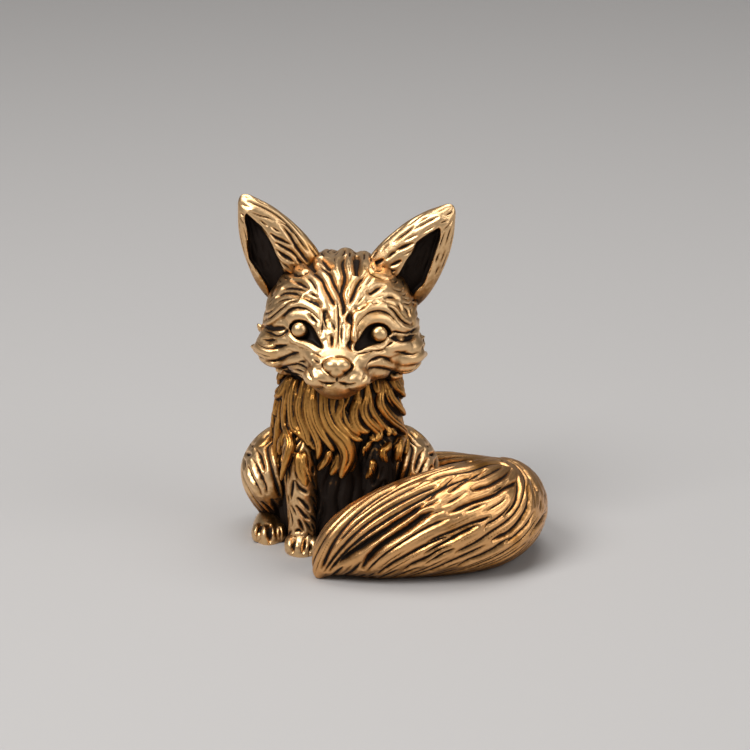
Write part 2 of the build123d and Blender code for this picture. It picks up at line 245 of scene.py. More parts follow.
def furred_ring(
    middle: np.ndarray,
    across: np.ndarray,
    up: np.ndarray,
    drop: float,
    ridges: int,
    fur: float,
    sway: float = 0.0,
) -> np.ndarray:
    """Places on an oval with rounded bundles of fur over its upper half.

    Args:
        middle: Its middle.
        across: From the middle to its side.
        up: From the middle to its top.
        drop: Reach below the middle, as a share of the reach above it.
        ridges: How many bundles.
        fur: Depth between them, as a share of the oval.
        sway: How far they swing to each side, in degrees.

    Returns:
        The places, one row each.
    """
    places_for_ridge = 16
    angles = np.arange(places_for_ridge * ridges) * math.pi / (places_for_ridge / 2 * ridges)
    above = angles < math.pi
    size = np.where(above, 1 - fur * (1 - np.abs(np.cos(angles * ridges))), 1.0)
    angles = angles + np.where(above, np.radians(sway) * np.sin(2 * angles), 0.0)
    rise = np.where(above, 1.0, drop) * np.sin(angles)
    return middle + (size * np.cos(angles))[:, None] * across + (size * rise)[:, None] * up


def ball(middle: Sequence[float], sizes: Sequence[float]) -> bmesh.types.BMesh:
    """An egg about a place, from its three half sizes."""
    form = bmesh.new()
    bmesh.ops.create_uvsphere(form, u_segments=32, v_segments=20, radius=1.0)
    bmesh.ops.scale(form, vec=Vector(sizes), verts=form.verts)
    bmesh.ops.translate(form, vec=Vector(middle), verts=form.verts)
    return form


def cut_flat(form: bmesh.types.BMesh) -> None:
    """Cuts a form off at the ground and closes it there."""
    parts = [*form.verts, *form.edges, *form.faces]
    bmesh.ops.bisect_plane(form, geom=parts, plane_co=(0, 0, 0), plane_no=(0, 0, 1), clear_inner=True)
    bmesh.ops.holes_fill(form, edges=form.edges, sides=0)


def lock_form(
    trail: Trail, half_width: float, half_depth: float, lift: Pair, root: float, point: float
) -> bmesh.types.BMesh:
    """A lock of fur that lies along a trail, from its root to its free end.

    Args:
        trail: Where it lies.
        half_width: Half of its greatest width.
        half_depth: Half of its greatest depth.
        lift: How far its middle stands off the trail at the root and at the end.
        root: Its size at the root, as a share of the greatest.
        point: How late it narrows to its end.

    Returns:
        The form.
    """
    widening, blunt, least = 2.2, 0.6, 0.02  # how fast it widens, and how round and how small it ends
    count = len(trail.places)
    rings = []
    for index, (place, outward) in enumerate(zip(trail.places, trail.outward)):
        share = index / (count - 1)
        ahead = trail.places[min(index + 1, count - 1)] - trail.places[max(index - 1, 0)]
        across = unit(np.cross(ahead, outward))
        facing = unit(np.cross(across, ahead))
        size = min(1.0, root + widening * share) * max(1 - share**point, 0.0) ** blunt + least
        middle = place + outward * (lift[0] + (lift[1] - lift[0]) * share)
        rings.append(oval_ring(middle, across * half_width * size, facing * half_depth * size, points=12))
    return rolled(np.array(rings))


class Room:
    """Keeps new trails at their distance from those already laid."""

    def __init__(self, low: np.ndarray, high: np.ndarray, spacing: float, cell: float = 0.16) -> None:
        """Takes the corners of the space, the distance to keep and the size of its cells."""
        self.low, self.cell = low, cell
        self.reach = math.ceil(spacing / cell)
        self.grid = np.zeros(np.ceil((high - low) / cell).astype(int) + 2 * self.reach + 3, np.uint8)
        steps = np.arange(-self.reach, self.reach + 1) * cell
        gap = np.sqrt(steps[:, None, None] ** 2 + steps[None, :, None] ** 2 + steps[None, None, :] ** 2)
        self.stamp = (gap < spacing).astype(np.uint8) + (gap < 0.5 * spacing)

    def number(self, place: np.ndarray) -> np.ndarray:
        """The cell that holds a place."""
        cell = ((place - self.low) / self.cell).astype(int) + self.reach
        return np.clip(cell, self.reach, np.array(self.grid.shape) - self.reach - 1)

    def add(self, places: np.ndarray) -> None:
        """Takes up the room round some places."""
        for place in places:
            i, j, k = self.number(place)
            reach = self.reach
            part = self.grid[i - reach : i + reach + 1, j - reach : j + reach + 1, k - reach : k + reach + 1]
            np.maximum(part, self.stamp, out=part)

    def level(self, place: np.ndarray) -> int:
        """How taken a place is: 0 is free, 1 too near to start at and 2 too near to pass."""
        return int(self.grid[tuple(self.number(place))])


class Skin:
    """One closed skin of small squares, in millimetres, that is carved point by point."""

    STRIDE = 0.2  # between the places of a combed trail
    TRIES = 60  # starts for each patch as wide as the spacing
    HALF_LENGTHS = (0.32, 0.5)  # of the greatest length, that each half of a trail may run
    FEWEST = 6  # places of a combed trail
    NARROWEST_TURN = 0.3  # the cosine at which a trail stops rather than go round an edge
    PULL_REACH = 1.4  # of the spacing, over which a guide pulls
    LOOSE = 0.05  # weight of the fur's own way beside the guides' pull
    FAINT = 0.02  # a mark of less isn't carried to a new skin

    def __init__(self, name: str, forms: Iterable[bmesh.types.BMesh], square: float) -> None:
        """Joins forms into one skin.

        Args:
            name: The piece's name.
            forms: Closed forms that overlap.
            square: The size of the skin's squares.
        """
        self.name = name
        self.square = square * FINE
        joined = bmesh.new()
        for form in forms:
            held = bpy.data.meshes.new("held")
            form.to_mesh(held)
            form.free()
            joined.from_mesh(held)
            bpy.data.meshes.remove(held)
        self.mesh = bpy.data.meshes.new(name)
        joined.to_mesh(self.mesh)
        joined.free()
        self.remake()

    def remake(self) -> None:
        """Covers the forms with one even skin again."""
        known = getattr(self, "mark", None)
        if known is not None:
            self.store()
            margin = 0.2
            stained_and_shaded = np.nonzero(known > self.FAINT)[0]
            before = KDTree(max(len(stained_and_shaded), 1))
            for number in stained_and_shaded:
                before.insert(self.places[number], int(number))
            before.balance()
            low, high = self.places[stained_and_shaded].min(0) - margin, self.places[stained_and_shaded].max(0) + margin
        holder = bpy.data.objects.new("remade", self.mesh)
        bpy.context.scene.collection.objects.link(holder)
        remesh = holder.modifiers.new("skin", "REMESH")
        remesh.mode = "VOXEL"
        remesh.voxel_size = self.square
        solved = holder.evaluated_get(bpy.context.evaluated_depsgraph_get())
        made = bpy.data.meshes.new_from_object(solved)
        bpy.data.objects.remove(holder)
        bpy.data.meshes.remove(self.mesh)
        self.mesh = made
        self.mesh.name = self.name
        self.places = self.read(self.mesh.vertices, "co", 3, np.float32).astype(float)
        self.edges = self.read(self.mesh.edges, "vertices", 2, np.int32)
        self.links = np.bincount(self.edges.ravel(), minlength=len(self.places)).astype(float)
        self.mark = np.zeros(len(self.places))
        if known is not None and len(stained_and_shaded):
            for number in np.nonzero(((self.places > low) & (self.places < high)).all(1))[0]:
                _, nearest, gap = before.find(self.places[number])
                if gap < 1.5 * self.square:  # not from another part of the skin
                    self.mark[number] = known[nearest]
        self.face_out()

    @staticmethod
    def read(rows: bpy.types.bpy_prop_collection, what: str, width: int, kind: type) -> np.ndarray:
        """One property of a mesh's rows as an array."""
        flat = np.empty(len(rows) * width, kind)
        rows.foreach_get(what, flat)
        return flat.reshape(-1, width)

    def store(self) -> None:
        """Puts the places back into the mesh."""
        self.mesh.vertices.foreach_set("co", self.places.astype(np.float32).ravel())
        self.mesh.update()

    def face_out(self) -> None:
        """Measures the outward direction at each point."""
        self.store()
        self.outward = self.read(self.mesh.vertex_normals, "vector", 3, np.float32).astype(float)
        self.tree_made: BVHTree | None = None

    def beside(self, values: np.ndarray) -> np.ndarray:
        """The mean of each point's neighbours."""
        first, second = self.edges[:, 0], self.edges[:, 1]
        count = len(self.places)
        columns = [
            np.bincount(first, weights=column[second], minlength=count)
            + np.bincount(second, weights=column[first], minlength=count)
            for column in values.reshape(count, -1).T
        ]
        return (np.stack(columns, 1) / self.links[:, None]).reshape(values.shape)

    def relax(self, rounds: int, spring: float = 0.53) -> None:
        """Smooths the skin and keeps its bulk.

        Args:
            rounds: How many times.
            spring: How far each round swells again.
        """
        for _ in range(rounds):
            self.places += 0.5 * (self.beside(self.places) - self.places)
            self.places -= spring * (self.beside(self.places) - self.places)
        self.face_out()

    def tree(self) -> BVHTree:
        """The skin as something that lines of sight can meet."""
        if self.tree_made is None:
            solid = bmesh.new()
            solid.from_mesh(self.mesh)
            self.tree_made = BVHTree.FromBMesh(solid)
            solid.free()
        return self.tree_made

    def trail(self, points: Sequence[Pair], steps: int = 6, past: bool = False) -> Trail | None:
        """Lays a line on the skin.

        Args:
            points: The line's points in the camera's frame.
            steps: Places laid for each point.
            past: Whether the line goes on beyond the skin's edge.

        Returns:
            The trail, or None where too little of the line meets the skin.
        """
        places, outward = [], []
        for across, down in smooth_rows(points, steps):
            start, sight = VIEW.aim(across, down)
            place, normal, _, _ = self.tree().ray_cast(Vector(start), Vector(sight))
            if place is not None:
                places.append(np.array(place))
                outward.append(np.array(normal))
            elif past:
                beyond, normal = self.passed(start, sight)
                places.append(beyond)
                outward.append(unit(normal - sight))
        if len(places) < 3:
            return None
        return Trail(np.array(places), unit(np.array(outward)))

    def passed(self, start: np.ndarray, sight: np.ndarray) -> tuple[np.ndarray, np.ndarray]:
        """Where a line of sight that misses the skin passes it, and the skin's outward direction there."""
        place = start + sight * ((self.places.mean(0) - start) @ sight)
        for _ in range(4):
            nearest, normal, _, _ = self.tree().find_nearest(Vector(place))
            place = start + sight * ((np.array(nearest) - start) @ sight)
        return place, np.array(normal)

    def near(self, trail: Trail, reach: float) -> tuple[np.ndarray, np.ndarray, np.ndarray]:
        """The points near a trail.

        Args:
            trail: The trail.
            reach: The greatest distance.

        Returns:
            The points' numbers, their distances and how far along the trail they lie, from 0 to 1.
        """
        low, high = trail.places.min(0) - reach, trail.places.max(0) + reach
        numbers = np.nonzero(((self.places > low) & (self.places < high)).all(1))[0]
        starts = trail.places[:-1]
        runs = trail.places[1:] - starts
        lengths = np.maximum((runs**2).sum(1), TINY)
        offset = self.places[numbers][:, None] - starts[None]
        along = np.clip((offset * runs).sum(2) / lengths, 0, 1)
        gap = np.linalg.norm(offset - along[..., None] * runs, axis=2)
        best = gap.argmin(1)
        rows = np.arange(len(numbers))
        gap, along = gap[rows, best], along[rows, best]
        facing = (self.outward[numbers] * trail.outward[best]).sum(1)
        kept = (gap < reach) & (facing > 0.0)
        return numbers[kept], gap[kept], ((best + along) / len(runs))[kept]

    def comb(
        self,
        flow: Flow,
        guides: Sequence[Trail | None],
        strands: Strands,
        draw: random.Random,
        kept: Kept = lambda place, outward: True,
    ) -> list[Trail]:
        """Fills the skin with evenly spaced trails that follow the fur.

        Args:
            flow: The fur's way where no guide is near.
            guides: Listed trails, which the fur follows and which keep their room.
            strands: The distance between trails and their greatest length.
            draw: The source of its choices.
            kept: Tells whether a place is to be filled.

        Returns:
            The new trails.
        """
        guides = [guide for guide in guides if guide is not None]
        spacing = strands.spacing
        room = Room(self.places.min(0), self.places.max(0), spacing)
        anchors, pulls = np.zeros((1, 3)), np.zeros((1, 3))
        if guides:
            anchors = np.vstack([guide.places for guide in guides])
            pulls = np.vstack([unit(np.gradient(guide.places, axis=0)) for guide in guides])
            facing = flow(anchors, np.vstack([guide.outward for guide in guides]))
            pulls *= np.where((pulls * facing).sum(1, keepdims=True) < 0, -1.0, 1.0)
            room.add(anchors)

        def way(place: np.ndarray, outward: np.ndarray) -> np.ndarray:
            """The fur's way at one place."""
            pull = np.exp(-((anchors - place) ** 2).sum(1) / (self.PULL_REACH * spacing) ** 2)
            ahead = self.LOOSE * flow(place[None], outward[None])[0] + pull @ pulls
            return unit(ahead - outward * (ahead @ outward))

        made = []
        seeds = list(range(len(self.places)))
        draw.shuffle(seeds)
        tries = self.TRIES * int(len(self.places) * self.square**2 / spacing**2)
        for seed in seeds[:tries]:
            start, start_out = self.places[seed], self.outward[seed]
            if room.level(start) or not kept(start, start_out):
                continue
            reach = strands.longest * draw.uniform(*self.HALF_LENGTHS)
            halves = []
            for sign in (-1, 1):
                place, outward, half = start, start_out, []
                for _ in range(int(reach / self.STRIDE)):
                    goal = place + self.STRIDE * sign * way(place, outward)
                    nearest, normal, _, _ = self.tree().find_nearest(Vector(goal))
                    if np.dot(normal, outward) < self.NARROWEST_TURN:
                        break
                    place, outward = np.array(nearest), np.array(normal)
                    if room.level(place) > 1 or not kept(place, outward):
                        break
                    half.append((place, outward))
                halves.append(half)
            line = [*reversed(halves[0]), (start, start_out), *halves[1]]
            if len(line) < self.FEWEST:
                continue
            trail = Trail(np.array([row[0] for row in line]), unit(np.array([row[1] for row in line])))
            room.add(trail.places)
            made.append(trail)
        return made

    def raise_ridge(self, trail: Trail | None, half_width: float, rise: float) -> None:
        """Raises a rounded ridge along a trail."""
        if trail is None:
            return
        taper = 0.7  # how far from its ends it has its full rise
        numbers, gap, along = self.near(trail, half_width)
        fade = np.clip(np.minimum(along, 1 - along) * trail.length() / taper, 0, 1) ** 0.5
        amount = rise * fade * np.sqrt(np.maximum(1 - (gap / half_width) ** 2, 0))
        self.places[numbers] += self.outward[numbers] * amount[:, None]

    def carve(self, grooves: Iterable[Groove], taper: float = 0.9) -> None:
        """Carves grooves between rounded shoulders, all at once.

        Args:
            grooves: Each trail with its half width and depth.
            taper: How far from its ends a groove has its full depth.
        """
        narrow, widening, steep = 0.55, 0.45, 1.9  # the width at the ends, what it gains, and the wall
        clean, over, stained_depth = 0.52, 0.26, 0.22  # where the stain starts, and the depth for all of it
        cut = np.zeros(len(self.places))
        for trail, half_width, depth in grooves:
            if trail is None or depth <= 0:
                continue
            numbers, gap, along = self.near(trail, half_width)
            length = trail.length()
            fade = np.clip(np.minimum(along, 1 - along) * length / min(taper, 0.4 * length), 0, 1) ** 0.6
            wide = half_width * (narrow + widening * fade)
            share = np.clip(gap / wide, 0, 1)
            amount = depth * fade * (1 - share) ** steep
            cut[numbers] = np.maximum(cut[numbers], amount)
            stain = (amount / depth - clean) / over * min(1.0, depth / stained_depth)
            self.mark[numbers] = np.maximum(self.mark[numbers], stain)
        self.places -= self.outward * cut[:, None]
        self.face_out()

    def sink(self, outline: Sequence[Pair], depth: float, edge: float) -> None:
        """Hollows the skin behind an outline in the frame, straight away from the camera.

        Args:
            outline: The hollow's corners in the frame.
            depth: How deep its floor is.
            edge: How wide its wall is.
        """
        turned_away = 0.15  # the cosine with the line of sight from which a point is on the far side
        ahead = VIEW.axes()[2]
        numbers = np.nonzero(self.outward @ ahead < turned_away)[0]
        seen = VIEW.seen(self.places[numbers])
        corners = smooth_rows([*outline, outline[0]], 3)
        starts, runs = corners[:-1], np.diff(corners, axis=0)
        close = ((seen > corners.min(0)) & (seen < corners.max(0))).all(1)
        numbers, seen = numbers[close], seen[close]
        offset = seen[:, None] - starts[None]
        along = np.clip((offset * runs).sum(2) / np.maximum((runs**2).sum(1), TINY), 0, 1)
        gap = np.linalg.norm(offset - along[..., None] * runs, axis=2).min(1) * VIEW.distance / VIEW.focal
        above = (starts[:, 1] > seen[:, 1:]) != (starts[:, 1] + runs[:, 1] > seen[:, 1:])
        safe = np.where(np.abs(runs[:, 1]) < TINY, TINY, runs[:, 1])
        crossing = starts[:, 0] + (seen[:, 1:] - starts[:, 1]) / safe * runs[:, 0]
        inside = ((above & (seen[:, :1] < crossing)).sum(1) % 2) == 1
        numbers, share = numbers[inside], np.clip(gap[inside] / edge, 0, 1)
        share = share * share * (3 - 2 * share)
        self.places[numbers] += ahead * (depth * share)[:, None]
        self.mark[numbers] = np.maximum(self.mark[numbers], share)

    def hollow_rate(self, rounds: int, size: float) -> np.ndarray:
        """How far each point lies below the skin's smoothed shape, as a share of a size."""
        even = self.places
        for _ in range(rounds):
            even = self.beside(even)
        return ((even - self.places) * self.outward).sum(1) / size

    def mirrored(self, name: str) -> "Skin":
        """The same skin for the fox's other side."""
        other = object.__new__(Skin)
        other.name, other.square = name, self.square
        other.mesh = self.mesh.copy()
        other.mesh.name = name
        other.places = self.places * (-1, 1, 1)
        other.edges, other.links, other.mark = self.edges, self.links, self.mark.copy()
        other.store()
        other.mesh.flip_normals()
        other.face_out()
        return other


@dataclass(frozen=True)
class Ageing:
    """What all finishes share: the colours that age leaves, which also paint the shade, where they start,
    and the casting's grain.
    """

    # patina and stain: ageing in the carving, and painted shade where undersides and closed-in places deepen
    # it
    patina: Colour = (0.022, 0.014, 0.010, 1)
    stain: Colour = (0.29, 0.125, 0.028, 1)
    patches: Pair = (260.0, 3.0)  # scale and detail of the warmer patches
    grain: Pair = (2600.0, 4.0)
    grit: Pair = (9000.0, 2.0)
    patina_and_shade_span: Pair = (0.50, 0.97)
    stain_and_shade_span: Pair = (0.05, 0.60)
    tone_span: Pair = (0.40, 0.66)
    most_stain_and_shade: float = 0.85
    sheltered: float = 1.15  # what a closed-in place adds to the depth of patina and painted shade
    polished: float = 0.25  # what a ridge takes from it
    uneven: float = 0.5  # how far the grain breaks the patina's edge
    grain_share: float = 1.5  # of the grain in the bump, beside the grit
    bump_strength: float = 0.35
    bump_height: float = 0.00004  # metres


AGE = Ageing()


@dataclass(frozen=True)
class Brass:
    """A finish of antiqued brass: colours of the polished metal, and how much patina stays on it."""

    slot: Slot
    bright: Triple
    warm: Triple
    patina_share: float
    roughness: float

    def material(self, aged: bpy.types.NodeTree) -> bpy.types.Material:
        """Makes the material.

        Args:
            aged: The node group that all finishes share.

        Returns:
            The material.
        """
        made = bpy.data.materials.new(self.slot.value)
        made.use_nodes = True
        tree = made.node_tree
        shader = tree.nodes["Principled BSDF"]
        group = tree.nodes.new("ShaderNodeGroup")
        group.node_tree = aged
        group.inputs["Bright"].default_value = (*self.bright, 1)
        group.inputs["Warm"].default_value = (*self.warm, 1)
        group.inputs["Patina"].default_value = self.patina_share
        group.inputs["Satin"].default_value = self.roughness
        for name in ("Base Color", "Roughness", "Metallic"):
            tree.links.new(group.outputs[name], shader.inputs[name])
        bump = tree.nodes.new("ShaderNodeBump")
        bump.inputs["Strength"].default_value = AGE.bump_strength
        bump.inputs["Distance"].default_value = AGE.bump_height
        tree.links.new(group.outputs["Height"], bump.inputs["Height"])
        tree.links.new(bump.outputs["Normal"], shader.inputs["Normal"])
        return made


FINISHES = (
    Brass(Slot.COAT, (0.90, 0.59, 0.305), (0.68, 0.36, 0.12), 0.40, 0.36),
    Brass(Slot.RUFF, (0.68, 0.34, 0.09), (0.50, 0.20, 0.03), 0.58, 0.36),
    Brass(Slot.TAIL, (0.78, 0.43, 0.18), (0.56, 0.25, 0.06), 0.50, 0.33),
    Brass(Slot.BRIGHT, (0.86, 0.57, 0.29), (0.70, 0.41, 0.14), 0.34, 0.35),
)


def aged_brass_group() -> bpy.types.NodeTree:
    """The node group of antiqued brass: patina in the hollows, painted shade on undersides and in closed-in
    places, bare metal on the ridges, casting grain.
    """
    tree = bpy.data.node_groups.new("aged_brass", "ShaderNodeTree")
    taken = {"Bright": "Color", "Warm": "Color", "Patina": "Float", "Satin": "Float"}
    passed_on = {"Base Color": "Color", "Roughness": "Float", "Metallic": "Float", "Height": "Float"}
    for way, sockets in (("INPUT", taken), ("OUTPUT", passed_on)):
        for name, kind in sockets.items():
            tree.interface.new_socket(name, in_out=way, socket_type="NodeSocket" + kind)
    nodes, links = tree.nodes, tree.links
    given = nodes.new("NodeGroupInput")
    out = nodes.new("NodeGroupOutput")

    def joined(node: bpy.types.Node, values: dict[int, object]) -> bpy.types.Node:
        """Sets or links a node's inputs by number."""
        for number, value in values.items():
            if isinstance(value, bpy.types.NodeSocket):
                links.new(value, node.inputs[number])
            else:
                node.inputs[number].default_value = value
        return node

    def maths(operation: str, first: object, second: object) -> bpy.types.NodeSocket:
        """The result of a Math node."""
        node = nodes.new("ShaderNodeMath")
        node.operation = operation
        return joined(node, {0: first, 1: second}).outputs[0]

    def span(
        value: object, low: float, high: float, start: float = 0.0, end: float = 1.0
    ) -> bpy.types.NodeSocket:
        """A value eased from one span to another."""
        node = nodes.new("ShaderNodeMapRange")
        node.interpolation_type = "SMOOTHSTEP"
        return joined(node, {0: value, 1: low, 2: high, 3: start, 4: end}).outputs[0]

    def mixed(share: object, first: object, second: object) -> bpy.types.NodeSocket:
        """A mix of two colours, at the numbers that the Mix node has for colours."""
        node = nodes.new("ShaderNodeMix")
        node.data_type = "RGBA"
        return joined(node, {0: share, 6: first, 7: second}).outputs[2]

    def noise(scale: float, detail: float) -> bpy.types.NodeSocket:
        """A noise over the object's own coordinates, from 0 to 1."""
        node = nodes.new("ShaderNodeTexNoise")
        links.new(place.outputs["Object"], node.inputs["Vector"])
        node.inputs["Scale"].default_value = scale
        node.inputs["Detail"].default_value = detail
        return node.outputs[0]

    def reading(name: str) -> bpy.types.NodeSocket:
        """A value that the mesh carries."""
        node = nodes.new("ShaderNodeAttribute")
        node.attribute_name = name
        return node.outputs["Fac"]

    place = nodes.new("ShaderNodeTexCoord")
    recess_and_shade, shelter, ridge = reading("recess_and_shade"), reading("shelter"), reading("ridge")
    patches, grain, grit = noise(*AGE.patches), noise(*AGE.grain), noise(*AGE.grit)
    centred = maths("SUBTRACT", grain, 0.5)
    # the depth of patina and painted shade: carving, undersides and closed-in places darken the metal
    depth = maths("ADD", recess_and_shade, maths("MULTIPLY", shelter, AGE.sheltered))
    depth = maths("ADD", depth, maths("MULTIPLY", centred, AGE.uneven))
    depth = maths("ADD", depth, maths("SUBTRACT", given.outputs["Patina"], 0.5))
    patina = span(maths("SUBTRACT", depth, maths("MULTIPLY", ridge, AGE.polished)), *AGE.patina_and_shade_span)
    # painted shade: closed-in places turn to the darker, warmer metal
    closed_in_shade = maths("MULTIPLY", maths("SUBTRACT", shelter, 0.3), 0.45)
    tone = span(maths("ADD", patches, closed_in_shade), *AGE.tone_span)
    metal = mixed(tone, given.outputs["Bright"], given.outputs["Warm"])
    # the stain: brown on groove flanks, and painted shade on faces that turn down or are closed in
    stained_and_shaded = mixed(span(depth, *AGE.stain_and_shade_span, 0.0, AGE.most_stain_and_shade), metal, AGE.stain)
    links.new(mixed(patina, stained_and_shaded, AGE.patina), out.inputs["Base Color"])
    rough = maths("ADD", given.outputs["Satin"], maths("MULTIPLY", centred, 0.16))
    links.new(maths("ADD", rough, maths("MULTIPLY", patina, 0.28)), out.inputs["Roughness"])
    links.new(span(patina, 0.2, 1.0, 1.0, 0.75), out.inputs["Metallic"])
    links.new(maths("ADD", grit, maths("MULTIPLY", grain, AGE.grain_share)), out.inputs["Height"])
    return tree


# Lines on the front of the fox, as points of the camera's frame: half width and depth in
# millimetres, then the points from the line's root to its end.
FOREHEAD = (
    Line(0.36, 0.3, (
        (263, 321), (270, 316), (277, 310), (283, 305.5), (287, 301.5), (292, 299.8), (299, 299)
    )),
    Line(0.36, 0.3, ((303, 296), (308, 298.8), (313, 301), (318, 304), (322, 307.5))),
    Line(0.36, 0.3, ((275, 298), (279, 294.5), (284, 292), (290, 292), (296, 293.5), (301, 296.5))),
    Line(0.36, 0.28, ((281, 288.5), (286, 287.3), (293, 287.3), (300, 288.6), (306, 291))),
    Line(0.36, 0.28, ((291, 278.5), (298, 282), (303, 285), (309, 289))),
    Line(0.34, 0.16, ((303, 275), (308, 278), (312, 282.5), (315, 288), (317, 294))),
    Line(0.3, 0.24, ((309, 293), (313, 294.5), (318, 298))),
    Line(0.4, 0.34, (
        (308, 268), (313, 271.5), (318, 275.5), (322, 280), (324, 285), (326, 289.5), (328.5, 294),
        (331, 299), (334, 304), (336, 308.5)
    )),
    Line(0.4, 0.36, (
        (317, 263), (322, 266.5), (327, 270), (330.5, 274.5), (332.5, 280), (335, 285.5), (338, 291),
        (340.5, 297), (342, 303)
    )),
    Line(0.4, 0.36, ((321, 256), (325, 260.5), (328, 265), (330.5, 270))),
    Line(0.28, 0.12, ((323, 272), (326, 276), (329, 281), (331, 287))),
    Line(0.34, 0.24, ((336, 300), (337.8, 307), (338.5, 318), (338.5, 328), (338.3, 338), (337, 350))),
    Line(0.46, 0.42, (
        (346, 254), (342.5, 260), (343.5, 268), (345, 275), (344, 282), (342, 288), (341, 295),
        (343, 303), (344, 310), (342, 317)
    )),
    Line(0.4, 0.4, ((357, 255), (357, 262), (357, 269), (358, 276))),
    Line(0.38, 0.32, (
        (368, 272), (363, 277), (359.5, 281.5), (357, 286), (355, 291), (353, 296), (350.5, 301),
        (347.5, 307)
    )),
    Line(0.3, 0.14, ((363, 283), (360, 288), (357, 292.5))),
    Line(0.36, 0.3, ((366, 290), (370.5, 293.2), (375, 290.6), (380, 287), (386, 285))),
    Line(0.26, 0.24, ((372, 301.3), (375.5, 302), (380, 301.8))),
    Line(0.36, 0.24, ((368, 301), (364, 305.5), (359, 308.5), (353, 308.6))),
    Line(0.34, 0.2, ((384, 298.5), (389, 297), (394, 297.3), (400, 299.5))),
    Line(0.38, 0.32, (
        (388, 305.5), (392, 307), (396, 311), (399, 316), (403, 320), (408, 323), (415, 325)
    )),
    Line(0.26, 0.12, ((398, 303), (400, 307), (402, 311))),
    Line(0.28, 0.18, ((404, 306), (408, 311), (410.5, 318))),
    Line(0.44, 0.44, (
        (351, 311), (348.8, 317), (350, 325), (349, 333), (349, 340), (350.5, 346), (353.5, 351)
    )),
    Line(0.42, 0.44, ((325, 309), (325.8, 316), (327, 323), (328.7, 330))),
    Line(0.32, 0.24, ((330, 320), (333.5, 326), (336.5, 332.5))),
    Line(0.34, 0.36, ((330.3, 334), (331.6, 340), (330.8, 348))),
    Line(0.32, 0.22, ((343, 322), (341.5, 330), (341.5, 338), (344, 346))),
    Line(0.3, 0.18, ((307.5, 313), (312.5, 319), (319, 325))),
    Line(0.3, 0.18, ((321.5, 312), (323, 320), (322.5, 329), (321.5, 338))),
    Line(0.3, 0.3, ((290, 271.5), (296, 273.8), (303, 273), (308, 269))),
    Line(0.34, 0.34, ((308, 260), (311, 266), (316, 271))),
    Line(0.26, 0.26, ((369, 268), (372, 273), (379, 276.5), (388, 278.5))),
)
EYE_FOLDS = (
    Line(0.18, 0.12, (
        (281, 321), (285, 315), (289, 311), (294, 308.6), (300, 308.3), (306, 309.6), (312, 313.3),
        (317, 318), (321, 323)
    )),
    Line(0.18, 0.12, (
        (357, 332), (358, 326), (361, 320.5), (366, 315.5), (371, 312.6), (378, 311.2), (385, 312.7),
        (391, 316), (395.5, 321), (401, 327)
    )),
    Line(0.26, 0.2, ((262, 326.5), (270, 328.8), (278, 328.3), (286, 328.6))),
    Line(0.26, 0.22, ((262, 329), (269, 333), (275, 335), (280, 334.6), (285, 331.5), (289, 330.5))),
    Line(0.32, 0.24, ((260, 339), (268, 340.3), (277.5, 341))),
    Line(0.2, 0.16, ((255.5, 340), (259.5, 345), (265, 347.7), (272, 348.4), (280, 346.8), (289, 345.4))),
    Line(0.2, 0.16, ((266, 362), (273, 361.7), (280, 360), (287, 356.6), (293, 354.3), (299, 352.6))),
    Line(0.22, 0.18, ((277, 368.6), (287, 367.3), (293, 366), (299, 365.4), (307, 369.5))),
    Line(0.34, 0.24, ((282, 371), (290, 375), (297, 376.3), (303, 378.8))),
    Line(0.26, 0.16, ((307, 369.5), (309.7, 375), (312.5, 382))),
    Line(0.2, 0.16, ((311, 353), (316, 354), (320, 355.6), (323, 358.4))),
    Line(0.2, 0.18, ((312, 358.8), (315.5, 361), (319.8, 362.7))),
    Line(0.26, 0.22, ((389, 335.5), (394, 338), (400, 339.7), (406, 339.5), (412, 337), (418, 334))),
    Line(0.26, 0.2, ((392, 332.5), (396, 333), (402, 334), (408, 334), (414, 331), (419, 327))),
    Line(0.24, 0.2, ((383.5, 350.5), (388, 346), (392, 342.6), (396.5, 340))),
    Line(0.24, 0.2, ((356, 356.5), (359, 353.5), (364, 352), (371, 351.6), (378, 351.4), (384, 350.3))),
    Line(0.2, 0.16, ((394, 352.4), (400, 353.1), (407, 354), (414, 353.9), (421, 351.5))),
    Line(0.22, 0.2, (
        (366, 368), (369, 363.6), (373, 360.2), (378, 358.2), (383, 358.1), (388, 360), (393.5, 364.5)
    )),
    Line(0.22, 0.18, ((368, 369.5), (376, 368.8), (383, 369.6), (390, 371.6), (396, 373.2), (402, 374))),
    Line(0.26, 0.12, ((362, 382), (364.5, 378.5), (366.5, 376))),
)
EAR_RIGHT = (
    Line(0.27, 0.26, ((293, 245.8), (283.9, 241.6), (275.4, 237.7), (269.7, 233.1))),
    Line(0.27, 0.24, ((299.5, 260.7), (293, 253), (281.6, 246.3), (274.7, 242.7))),
    Line(0.27, 0.3, ((294.6, 263), (288.4, 258.8), (281.6, 254.4), (274.7, 248.8))),
    Line(0.24, 0.22, ((304.5, 266.8), (299.9, 261.5), (294.6, 255.3))),
    Line(0.29, 0.24, (
        (308.3, 263.7), (303, 255.3), (297.2, 247.7), (293, 240), (287.7, 231.6), (280.8, 224)
    )),
    Line(0.22, 0.17, ((277, 220.9), (286.1, 224.7), (291.9, 230.8), (296.9, 237.7))),
    Line(0.18, 0.13, ((281.6, 232.8), (276.2, 230.1), (270.8, 226.3))),
    Line(0.18, 0.14, ((267.8, 226.3), (263.2, 223.2), (258.6, 219.4))),
    Line(0.2, 0.14, (
        (247.1, 201.4), (258.6, 205.2), (270.8, 211), (281.6, 218.6), (291.5, 228.6), (299.9, 240),
        (308.3, 252.3)
    )),
    Line(0.18, 0.12, ((247.9, 211), (258.6, 215.5), (267.8, 217.8), (274.7, 221.7))),
)
